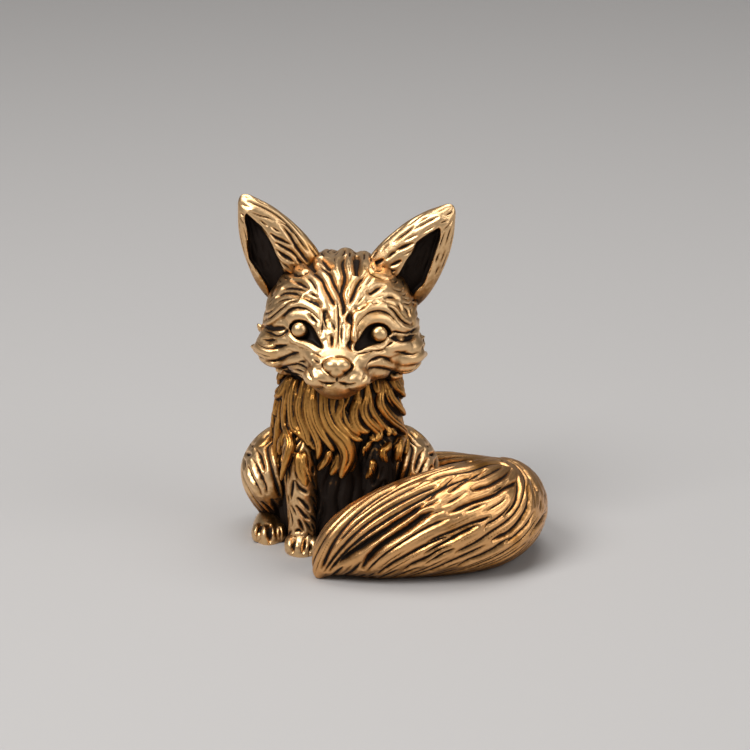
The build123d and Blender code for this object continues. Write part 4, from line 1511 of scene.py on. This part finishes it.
@dataclass
class Ruff:
    """Wavy locks that hang from the jaw over the chest and the shoulders.

    Combed locks cover the chest, and the listed locks lie over them.
    """

    front_low: float = 8.2  # the height where the locks end at the middle of the chest
    side_low: float = 8.8
    top: float = 19.3
    spread: float = 112.0  # degrees to each side of the chest's middle
    over_legs: float = 11.4  # how far down the lower locks reach where they fall over a leg
    upper_row: float = 13.0  # the roots above this height start under the jaw
    jaw: float = 17.4  # how high they are drawn out to
    bare_square: float = 0.16
    square: float = 0.10
    waves: Triple = (0.15, 0.35, 0.9)  # the spread and the sway of its fall, and how fast it sways
    under_locks: Strands = Strands(0.72, 9.0)
    under_sizes: Pair = (0.48, 0.62)
    under_lift: Pair = (-0.5, 0.3)
    added_width: float = 0.12  # to the half widths of the listed locks
    end_lift: float = 0.5  # how far the ends of those stand off
    veins: Strands = Strands(half_width=0.26, depth=(0.10, 0.16))  # along the widest locks
    strands: Strands = Strands(0.46, 7.0, 0.25, (0.06, 0.15))
    taper: float = 1.2

    def build(self, torso: Skin, legs: Sequence[bmesh.types.BMesh]) -> Skin:
        """Makes the ruff.

        Args:
            torso: The torso that it lies on.
            legs: The forms of the legs, which its lower locks fall over.

        Returns:
            The ruff's skin.
        """
        torso.store()
        body = bmesh.new()
        body.from_mesh(torso.mesh)
        shoulders = Skin("shoulders", [body, *legs], self.bare_square)
        shoulders.relax(4)
        hand_laid = [(line, shoulders.trail(line.points)) for line in RUFF_LOCKS]
        hand_laid = [(line, self.rooted(shoulders, trail)) for line, trail in hand_laid if trail is not None]
        draw = random.Random(SEED + 2)
        flow = falling(*self.waves)
        guides = [trail for _, trail in hand_laid]
        under = shoulders.comb(flow, guides, self.under_locks, draw, self.covered)
        locks, veins = [], []
        for trail in under:
            if trail.places[0, 2] < trail.places[-1, 2]:
                trail = Trail(trail.places[::-1], trail.outward[::-1])
            size = draw.uniform(*self.under_sizes)
            locks.append(lock_form(trail, size, size * 0.9, self.under_lift, 0.5, 5.0))
        for line, trail in hand_laid:
            depth = 0.42 + 0.5 * line.half_width
            lift = (-0.2 if trail.places[0, 2] > self.upper_row else 0.2, self.end_lift)
            locks.append(lock_form(trail, line.half_width + self.added_width, depth, lift, 0.6, 5.0))
            if line.half_width > 0.36 and len(trail.places) > 10:
                veins.append(Trail(trail.places[2:-4], trail.outward[2:-4]))
        skin = Skin("ruff_locks", locks, self.square)
        skin.relax(1)
        veins = [self.lifted(skin, trail) for trail in veins]
        fine = skin.comb(flow, veins, self.strands, draw, lambda _, outward: outward[1] < 0.4)
        skin.carve([*self.veins.grooves(veins, draw), *self.strands.grooves(fine, draw)], self.taper)
        return skin

    def covered(self, place: np.ndarray, outward: np.ndarray) -> bool:
        """Whether the locks cover a place of the torso."""
        angle = math.degrees(math.atan2(place[0], -(place[1] + 2.0)))
        low = self.front_low + (self.side_low - self.front_low) * min(1.0, abs(angle) / 60)
        low += 4.0 * max(0.0, abs(angle) - 70) / 45 + 0.6 * math.sin(0.3 * angle)
        if place[1] < -5.5 and 1.8 < abs(place[0]) < 5.9:
            low = max(low, self.over_legs)
        return abs(angle) < self.spread and low < place[2] < self.top

    def rooted(self, skin: Skin, trail: Trail, step: float = 0.35) -> Trail:
        """A trail of the upper row, drawn out upwards to a root under the jaw."""
        places, outward = list(trail.places), list(trail.outward)
        while self.upper_row < places[0][2] < self.jaw and len(places) < len(trail.places) + 9:
            back = unit(unit(places[0] - places[2]) + (0, 0, 1.2))
            found = skin.tree().find_nearest(Vector(places[0] + step * back))
            places.insert(0, np.array(found[0]))
            outward.insert(0, np.array(found[1]))
        return Trail(np.array(places), unit(np.array(outward)))

    @staticmethod
    def lifted(skin: Skin, trail: Trail) -> Trail:
        """A trail brought up from the chest onto the locks."""
        places, outward = [], []
        for place, facing in zip(trail.places, trail.outward):
            found = skin.tree().ray_cast(Vector(place + facing * 2.5), Vector(-facing))
            if found[0] is not None:
                places.append(np.array(found[0]))
                outward.append(np.array(found[1]))
        if len(places) < 3:
            return trail
        return Trail(np.array(places), unit(np.array(outward)))


@dataclass
class Leg:
    """A foreleg, straight down from the shoulder."""

    side: int = -1
    height: float = 12.6
    half_width: float = 1.95
    half_depth: float = 2.3
    out: float = 3.75
    front: float = 6.72
    set_back: float = 1.9
    square: float = 0.10
    strands: Strands = Strands(0.50, 2.6, 0.33, (0.14, 0.26))
    taper: float = 0.7
    patina: float = 0.45
    rows: Rows = (
        (0.06, 0.72, 0.62, 0.00),
        (0.25, 0.72, 0.62, 0.02),
        (0.45, 0.82, 0.74, 0.15),
        (0.65, 0.95, 0.92, 0.45),
        (0.85, 1.00, 1.00, 0.80),
        (1.00, 0.62, 0.60, 1.00),
    )

    def form(self) -> bmesh.types.BMesh:
        """The bare leg."""
        rings = []
        for height, width, depth, back in smooth_rows(self.rows, 4):
            ahead = self.set_back * back - self.front
            middle = np.array([self.side * self.out, ahead, self.height * height])
            sides = np.array([self.half_width * width, 0, 0])
            rings.append(oval_ring(middle, sides, np.array([0, self.half_depth * depth, 0])))
        return rolled(np.array(rings))

    def build(self) -> Skin:
        """Makes the fox's right foreleg."""
        skin = Skin("foreleg_right_coat", [self.form()], self.square)
        skin.relax(2)
        guides = laid(skin, FORELEG)
        draw = random.Random(SEED + 6)
        held = [row[0] for row in guides]
        trails = skin.comb(self.flow, held, self.strands, draw, lambda _, outward: abs(outward[2]) < 0.9)
        skin.carve([*guides, *self.strands.grooves(trails, draw)], self.taper)
        skin.mark += self.patina
        return skin

    def flow(self, places: np.ndarray, outward: np.ndarray) -> np.ndarray:
        """Short tufts that part at the middle of the leg's front and fall to its sides."""
        part = np.tanh((places[:, :1] - self.side * self.out - 0.3) * 2.0)
        return np.concatenate([0.55 * part, 0.25 * np.ones_like(part), -np.ones_like(part)], 1)


@dataclass
class Paw:
    """A paw with four toes."""

    name: str
    out: float
    front: float
    length: float
    half_width: float = 1.75
    height: float = 2.3
    toe: Triple = (0.6, 1.2, 0.95)
    toes: int = 4
    square: float = 0.09

    def build(self) -> Skin:
        """Makes the paw, flat on the ground."""
        middle = self.front + self.length / 2
        forms = [ball((self.out, middle, 0.0), (self.half_width, self.length / 2, self.height))]
        for number in range(self.toes):
            across = (2 * number / (self.toes - 1) - 1) * (self.half_width - self.toe[0])
            ahead = self.front + self.toe[1] + abs(across) * 0.35
            forms.append(ball((self.out + across, ahead, self.toe[2] * 0.8), self.toe))
        for form in forms:
            cut_flat(form)
        skin = Skin(self.name, forms, self.square)
        skin.relax(2)
        skin.carve(laid(skin, PAWS))
        return skin


@dataclass
class Haunch:
    """A folded thigh, grooved like the coat."""

    height: float = 10.6
    half_width: float = 3.4
    half_length: float = 4.8
    base: float = 0.3
    out: float = 6.6
    front: float = 0.4
    square: float = 0.10
    strands: Strands = Strands(0.90, 11.0, 0.52, (0.24, 0.42))
    taper: float = 1.2
    patina: float = 0.12
    rows: Rows = (
        (0.00, 0.30, 0.05, 0.40),
        (0.08, 0.52, 0.05, 0.32),
        (0.24, 0.76, 0.02, 0.14),
        (0.42, 0.94, -0.02, 0.03),
        (0.60, 1.00, 0.00, 0.00),
        (0.78, 0.86, 0.10, 0.00),
        (0.92, 0.55, 0.24, 0.04),
        (1.00, 0.10, 0.34, 0.10),
    )

    def build(self) -> Skin:
        """Makes the fox's right haunch."""
        rings = []
        for height, size, inward, tailward in smooth_rows(self.rows, 4):
            across = -(self.out - self.half_width * inward)
            ahead = -(self.front - self.half_length * tailward)
            middle = np.array([across, ahead, self.base + self.height * height])
            sides = np.array([self.half_width * size, 0, 0])
            rings.append(oval_ring(middle, sides, np.array([0, self.half_length * size, 0])))
        skin = Skin("haunch_right_coat", [rolled(np.array(rings))], self.square)
        skin.relax(2)
        guides = laid(skin, HAUNCH)
        draw = random.Random(SEED + 3)
        trails = skin.comb(self.flow, [row[0] for row in guides], self.strands, draw)
        skin.carve([*guides, *self.strands.grooves(trails, draw)], self.taper)
        skin.mark += self.patina
        return skin

    def flow(self, places: np.ndarray, outward: np.ndarray) -> np.ndarray:
        """Strands that fall over the thigh and sweep forward at its foot."""
        low = np.clip((6.5 - places[:, 2:]) / 5.0, 0, 1)
        sway = 0.22 * np.sin(1.1 * places[:, 2:] + 0.8 * places[:, 1:2])
        return np.concatenate([np.zeros_like(low), sway - 0.7 * low + 0.25, -1.0 + 0.2 * low], 1)


@dataclass
class Tail:
    """The full brush, with locks that wind round it from its point."""

    radius: float = 5.4
    span: float = 15.9
    front: float = 14.54
    flat: float = 0.3
    wind: float = -0.5  # how steeply the locks wind round
    square: float = 0.13
    lowest: float = 0.25  # the height where the strands start
    strands: Strands = Strands(0.90, 26.0, 0.46, (0.18, 0.34))
    fine_strands: Strands = Strands(0.46, 7.0, 0.24, (0.05, 0.12))
    taper: float = 1.3
    rows: Rows = (
        (0.16, -0.41, 0.36),
        (0.38, -0.46, 0.48),
        (0.62, -0.39, 0.57),
        (0.84, -0.19, 0.63),
        (0.97, 0.10, 0.74),
        (1.00, 0.42, 0.89),
        (0.91, 0.68, 0.99),
        (0.75, 0.80, 1.00),
        (0.57, 0.865, 0.955),
        (0.41, 0.90, 0.89),
        (0.27, 0.93, 0.81),
        (0.13, 0.95, 0.70),
        (0.02, 0.97, 0.56),
        (-0.06, 0.985, 0.38),
        (-0.11, 0.995, 0.20),
        (-0.13, 1.00, 0.06),
    )

    def spine(self) -> tuple[np.ndarray, np.ndarray]:
        """The centre line's places and the radii there."""
        table = smooth_rows(self.rows, 6)
        radii = self.radius * table[:, 2]
        return np.stack([self.span * table[:, 0], -self.front * table[:, 1], radii - self.flat], 1), radii

    def build(self) -> Skin:
        """Makes the tail."""
        places, radii = self.spine()
        rings = []
        for index, (place, radius) in enumerate(zip(places, radii)):
            ahead = places[min(index + 1, len(places) - 1)] - places[max(index - 1, 0)]
            across = unit(np.cross(ahead, (0.0, 0.0, 1.0)))
            up = unit(np.cross(across, ahead))
            rings.append(oval_ring(place, across * radius, up * radius, points=48))
        form = rolled(np.array(rings))
        cut_flat(form)
        skin = Skin("tail_brush", [form], self.square)
        skin.relax(2)
        guides = laid(skin, TAIL)
        draw = random.Random(SEED + 4)
        held = [row[0] for row in guides]
        trails = skin.comb(self.flow, held, self.strands, draw, self.combed)
        fine = skin.comb(self.flow, [*held, *trails], self.fine_strands, draw, self.combed)
        strands = [*self.strands.grooves(trails, draw), *self.fine_strands.grooves(fine, draw)]
        skin.carve([*guides, *strands], self.taper)
        return skin

    def combed(self, place: np.ndarray, outward: np.ndarray) -> bool:
        """Whether strands cover a place: all but the edge of the flat that it rests on."""
        return place[2] > self.lowest

    def flow(self, places: np.ndarray, outward: np.ndarray) -> np.ndarray:
        """Locks that wind round the brush as they run from its root to its point."""
        spine, _ = self.spine()
        ahead = unit(np.gradient(spine, axis=0))
        far = ((places[:, None] - spine[None]) ** 2).sum(2)
        pull = np.exp(-(far - far.min(1, keepdims=True)) / 12.0)
        way = unit(pull @ ahead)
        return way + self.wind * unit(np.cross(way, outward))


def measure_shelter(
    skins: Sequence[Skin], reach: float = 4.0, rays: int = 14, every: int = 6
) -> dict[str, np.ndarray]:
    """How closed in each point is, from 0 in the open to 1 in a deep gap.

    Args:
        skins: All skins of the object, each of which may shelter the others.
        reach: How near a wall has to be to count.
        rays: Lines of sight cast from a point.
        every: One point in so many is measured, and the rest follow from their neighbours.

    Returns:
        The values of each skin's points, by the skin's name.
    """
    places, faces, count = [], [], 0
    for skin in skins:
        corners = skin.read(skin.mesh.loops, "vertex_index", 1, np.int32).reshape(-1, 4)
        places.append(skin.places)
        faces.append(corners + count)
        count += len(skin.places)
    tree = BVHTree.FromPolygons(np.vstack(places).tolist(), np.vstack(faces).tolist())
    steps = np.arange(rays) + 0.5
    height = np.sqrt(1 - steps / rays)
    turn = steps * GOLDEN_TURN
    spread = np.stack([np.cos(turn), np.sin(turn)], 1) * np.sqrt(1 - height**2)[:, None]
    results = {}
    for skin in skins:
        chosen = np.arange(0, len(skin.places), every)
        up = skin.outward[chosen]
        helper = np.where(np.abs(up[:, :1]) < 0.7, (1.0, 0.0, 0.0), (0.0, 1.0, 0.0))
        side = unit(np.cross(up, helper))
        other = np.cross(up, side)
        start = skin.places[chosen] + up * OFF_SKIN
        met = np.zeros(len(chosen))
        for (x, y), z in zip(spread, height):
            sights = side * x + other * y + up * z
            for index, (place, sight) in enumerate(zip(start.tolist(), sights.tolist())):
                if tree.ray_cast(place, sight, reach)[0] is not None:
                    met[index] += 1
        known = np.zeros(len(skin.places))
        known[chosen] = 1.0
        value = np.zeros(len(skin.places))
        value[chosen] = met / rays
        for _ in range(5):
            known, value = known + skin.beside(known), value + skin.beside(value)
        results[skin.name] = value / np.maximum(known, 1e-6)
    return results


@dataclass(frozen=True)
class WearAndShade:
    """What leaves patina and painted shade on a skin, and how much each cause counts."""

    carved: float = 0.75
    sharp: float = 0.38  # hollows between neighbouring strands
    broad: float = 0.34  # hollows between whole forms
    under: float = 0.75  # painted shade on undersides, the darker the more a point faces down
    under_from: float = 0.38
    sharp_rounds: int = 8
    sharp_size: float = 0.085
    broad_rounds: int = 60
    broad_size: float = 0.30
    sharp_ridge: float = 0.8
    broad_ridge: float = 0.5

    def layers(self, skin: Skin) -> dict[str, np.ndarray]:
        """How far each point of a skin is recessed, with painted shade on its undersides, and how far it is
        a ridge.
        """
        sharp = skin.hollow_rate(max(3, self.sharp_rounds // FINE), self.sharp_size)
        broad = skin.hollow_rate(max(10, self.broad_rounds // FINE**2), self.broad_size)
        # painted shade: the more a point faces down, the darker it is
        under = self.under * np.clip(self.under_from - skin.outward[:, 2], 0, 1) ** 1.3
        recess_and_shade = self.carved * skin.mark + self.sharp * np.clip(sharp, -1, 1)
        recess_and_shade = np.clip(recess_and_shade + self.broad * np.clip(broad, -1, 1.2) + under, 0, 1.5)
        ridge = np.clip(-sharp * self.sharp_ridge - broad * self.broad_ridge, 0, 1)
        return {"recess_and_shade": recess_and_shade, "ridge": ridge}


def finish_piece(
    skin: Skin,
    nodes: Sequence[str],
    slot: Slot,
    materials: dict[Slot, bpy.types.Material],
    shelter: np.ndarray,
) -> bpy.types.Object:
    """Dresses a skin and puts it in the scene in metres.

    Args:
        skin: The skin.
        nodes: The CAD nodes that it stands for.
        slot: The slot of its finish.
        materials: The materials by slot.
        shelter: How closed in each point is.

    Returns:
        The piece.
    """
    layers = {**WearAndShade().layers(skin), "shelter": shelter}
    skin.places *= METRES
    skin.store()
    for name, values in layers.items():
        layer = skin.mesh.attributes.new(name, "FLOAT", "POINT")
        layer.data.foreach_set("value", values.astype(np.float32))
    skin.mesh.polygons.foreach_set("use_smooth", [True] * len(skin.mesh.polygons))
    skin.mesh.materials.clear()
    skin.mesh.materials.append(materials[slot])
    piece = bpy.data.objects.new(skin.name, skin.mesh)
    bpy.context.scene.collection.objects.link(piece)
    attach(piece, "root")
    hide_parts(*nodes)
    log.info("%s: %d squares", skin.name, len(skin.mesh.polygons))
    return piece


@dataclass(frozen=True)
class Lamp:
    """A white soft box that points at the fox: its place and side in millimetres, and its power."""

    name: str
    place: Triple
    side: float
    power: float


@dataclass
class Studio:
    """The pale floor with its swept-up back, the soft lamps and the camera."""

    floor_colour: Colour = (0.45, 0.435, 0.425, 1)
    floor_roughness: float = 0.85
    room_colour: Colour = (0.42, 0.415, 0.41, 1)
    room_strength: float = 0.45
    bend: float = 0.35  # metres, the radius of the floor's sweep, and where it starts behind the fox
    lamps: tuple[Lamp, ...] = (
        Lamp("key", (-200.0, -200.0, 350.0), 230.0, 1.55),
        Lamp("fill", (300.0, -180.0, 220.0), 260.0, 0.42),
        Lamp("top", (30.0, 60.0, 400.0), 240.0, 0.80),
    )

    def build(self) -> None:
        """Makes all of it."""
        self.floor()
        for lamp in self.lamps:
            self.light(lamp)
        world = bpy.data.worlds.new("room")
        world.use_nodes = True
        background = world.node_tree.nodes["Background"]
        background.inputs["Color"].default_value = self.room_colour
        background.inputs["Strength"].default_value = self.room_strength
        bpy.context.scene.world = world
        self.camera()
        bpy.context.scene.view_settings.view_transform = "Standard"

    def floor(self) -> None:
        """Makes the floor, one sheet that sweeps up behind the fox."""
        sheet = bmesh.new()
        bmesh.ops.create_grid(sheet, x_segments=1, y_segments=40, size=1.0)
        for corner in sheet.verts:
            along = (corner.co.y + 1) / 2
            run = -0.9 + 2.4 * along
            past = max(0.0, run - self.bend)
            turn = min(past / self.bend, math.pi / 2)
            ahead = run - past + self.bend * math.sin(turn)
            height = self.bend * (1 - math.cos(turn)) + max(0.0, past - 0.55)
            corner.co = Vector((corner.co.x * 1.6, ahead, height))
        mesh = bpy.data.meshes.new("floor")
        sheet.to_mesh(mesh)
        sheet.free()
        mesh.polygons.foreach_set("use_smooth", [True] * len(mesh.polygons))
        paper = bpy.data.materials.new("paper")
        paper.use_nodes = True
        shader = paper.node_tree.nodes["Principled BSDF"]
        shader.inputs["Base Color"].default_value = self.floor_colour
        shader.inputs["Roughness"].default_value = self.floor_roughness
        mesh.materials.append(paper)
        floor = bpy.data.objects.new("floor", mesh)
        bpy.context.scene.collection.objects.link(floor)

    def light(self, lamp: Lamp) -> None:
        """Makes one soft box that points at the fox."""
        aim = Vector((0, 0, 0.012))
        data = bpy.data.lights.new(lamp.name, "AREA")
        data.shape = "SQUARE"
        data.size = lamp.side * METRES
        data.energy = lamp.power
        box = bpy.data.objects.new(lamp.name, data)
        place = Vector(lamp.place) * METRES
        box.location = place
        box.rotation_euler = (aim - place).to_track_quat("-Z", "Y").to_euler()
        bpy.context.scene.collection.objects.link(box)

    def camera(self) -> None:
        """Makes the camera at the photograph's height and distance."""
        data = bpy.data.cameras.new("camera")
        data.sensor_width = VIEW.sensor
        data.lens = VIEW.sensor * VIEW.focal / VIEW.side
        data.clip_start = 0.01
        camera = bpy.data.objects.new("camera", data)
        camera.location = Vector(VIEW.eye()) * METRES
        camera.rotation_euler = Vector(VIEW.axes()[2]).to_track_quat("-Z", "Y").to_euler()
        bpy.context.scene.collection.objects.link(camera)
        bpy.context.scene.camera = camera


@dataclass
class Eye:
    """A round bead, where the CAD has it, and a little deeper in its socket."""

    side: str
    least: float = 0.80  # its half size, if the CAD's is smaller
    half_depth: float = 0.66
    deeper: float = 0.1
    square: float = 0.06

    def build(self) -> Skin:
        """Makes the bead."""
        low, high = (np.array(corner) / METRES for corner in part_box(f"eye_{self.side}"))
        half = max((high[0] - low[0]) / 2, self.least)
        middle = (low + high) / 2 + (0, self.deeper, 0)
        skin = Skin(f"eye_{self.side}_bead", [ball(middle, (half, self.half_depth, half))], self.square)
        skin.relax(2)
        return skin


@dataclass
class Nose:
    """The nose pad: two rounded wings over a rounded middle, run together."""

    seat: Triple = (0, 0.985, 0.318)  # in shares of the head's sizes
    wing: Triple = (0.36, 0.05, 0.16)
    wing_sizes: Triple = (0.96, 0.80, 0.72)
    low: Triple = (0, 0.0, -0.22)
    low_sizes: Triple = (0.80, 0.78, 0.80)
    square: float = 0.07
    softness: int = 24

    def build(self, head: Head) -> Skin:
        """Makes the nose on a head."""
        place = head.place(*self.seat)
        across, back, up = self.wing
        forms = [ball(place + (side * across, back, up), self.wing_sizes) for side in (-1, 1)]
        skin = Skin("nose_pad", [*forms, ball(place + self.low, self.low_sizes)], self.square)
        skin.relax(self.softness)
        return skin


def main() -> None:
    """Builds every piece in order, dresses it and sets the studio."""
    logging.basicConfig(level=logging.INFO, format="%(name)s: %(message)s")
    head = Head()
    torso = Torso()
    torso_skin = torso.bare()
    ruff = Ruff().build(torso_skin, [Leg().form(), Leg(side=1).form()])
    torso.carve(torso_skin)
    leg = Leg().build()
    left_leg = leg.mirrored("foreleg_left_coat")
    left_leg.mark += 0.8  # painted shadow: the tail shades the leg behind it
    haunch = Haunch().build()
    forepaw = Paw("forepaw_right_toes", -3.75, -9.13, 4.4).build()
    hind_paw = Paw("hind_paw_right_toes", -7.15, -5.7, 7.6).build()
    built: list[tuple[Skin, list[str], Slot]] = [
        (torso_skin, ["torso"], Slot.COAT),
        (head.build(), ["head"], Slot.COAT),
        (Ear(1, CONCH_LEFT, EAR_LEFT).build(head), ["ear_left"], Slot.COAT),
        (Ear(-1, CONCH_RIGHT, EAR_RIGHT).build(head), ["ear_right"], Slot.COAT),
        (ruff, ["ruff"], Slot.RUFF),
        (leg, ["foreleg_right"], Slot.COAT),
        (left_leg, ["foreleg_left"], Slot.COAT),
        (haunch, ["haunch_right"], Slot.COAT),
        (haunch.mirrored("haunch_left_coat"), ["haunch_left"], Slot.COAT),
        (forepaw, ["forepaw_right"], Slot.BRIGHT),
        (forepaw.mirrored("forepaw_left_toes"), ["forepaw_left"], Slot.BRIGHT),
        (hind_paw, ["hind_paw_right"], Slot.BRIGHT),
        (hind_paw.mirrored("hind_paw_left_toes"), ["hind_paw_left"], Slot.BRIGHT),
        (Tail().build(), ["tail"], Slot.TAIL),
        (Eye("left").build(), ["eye_left"], Slot.BRIGHT),
        (Eye("right").build(), ["eye_right"], Slot.BRIGHT),
        (Nose().build(head), ["nose"], Slot.BRIGHT),
    ]
    shelter = measure_shelter([skin for skin, _, _ in built])
    aged = aged_brass_group()
    materials = {finish.slot: finish.material(aged) for finish in FINISHES}
    for skin, nodes, slot in built:
        finish_piece(skin, nodes, slot, materials, shelter[skin.name])
    Studio().build()


if __name__ == "__main__":
    main()
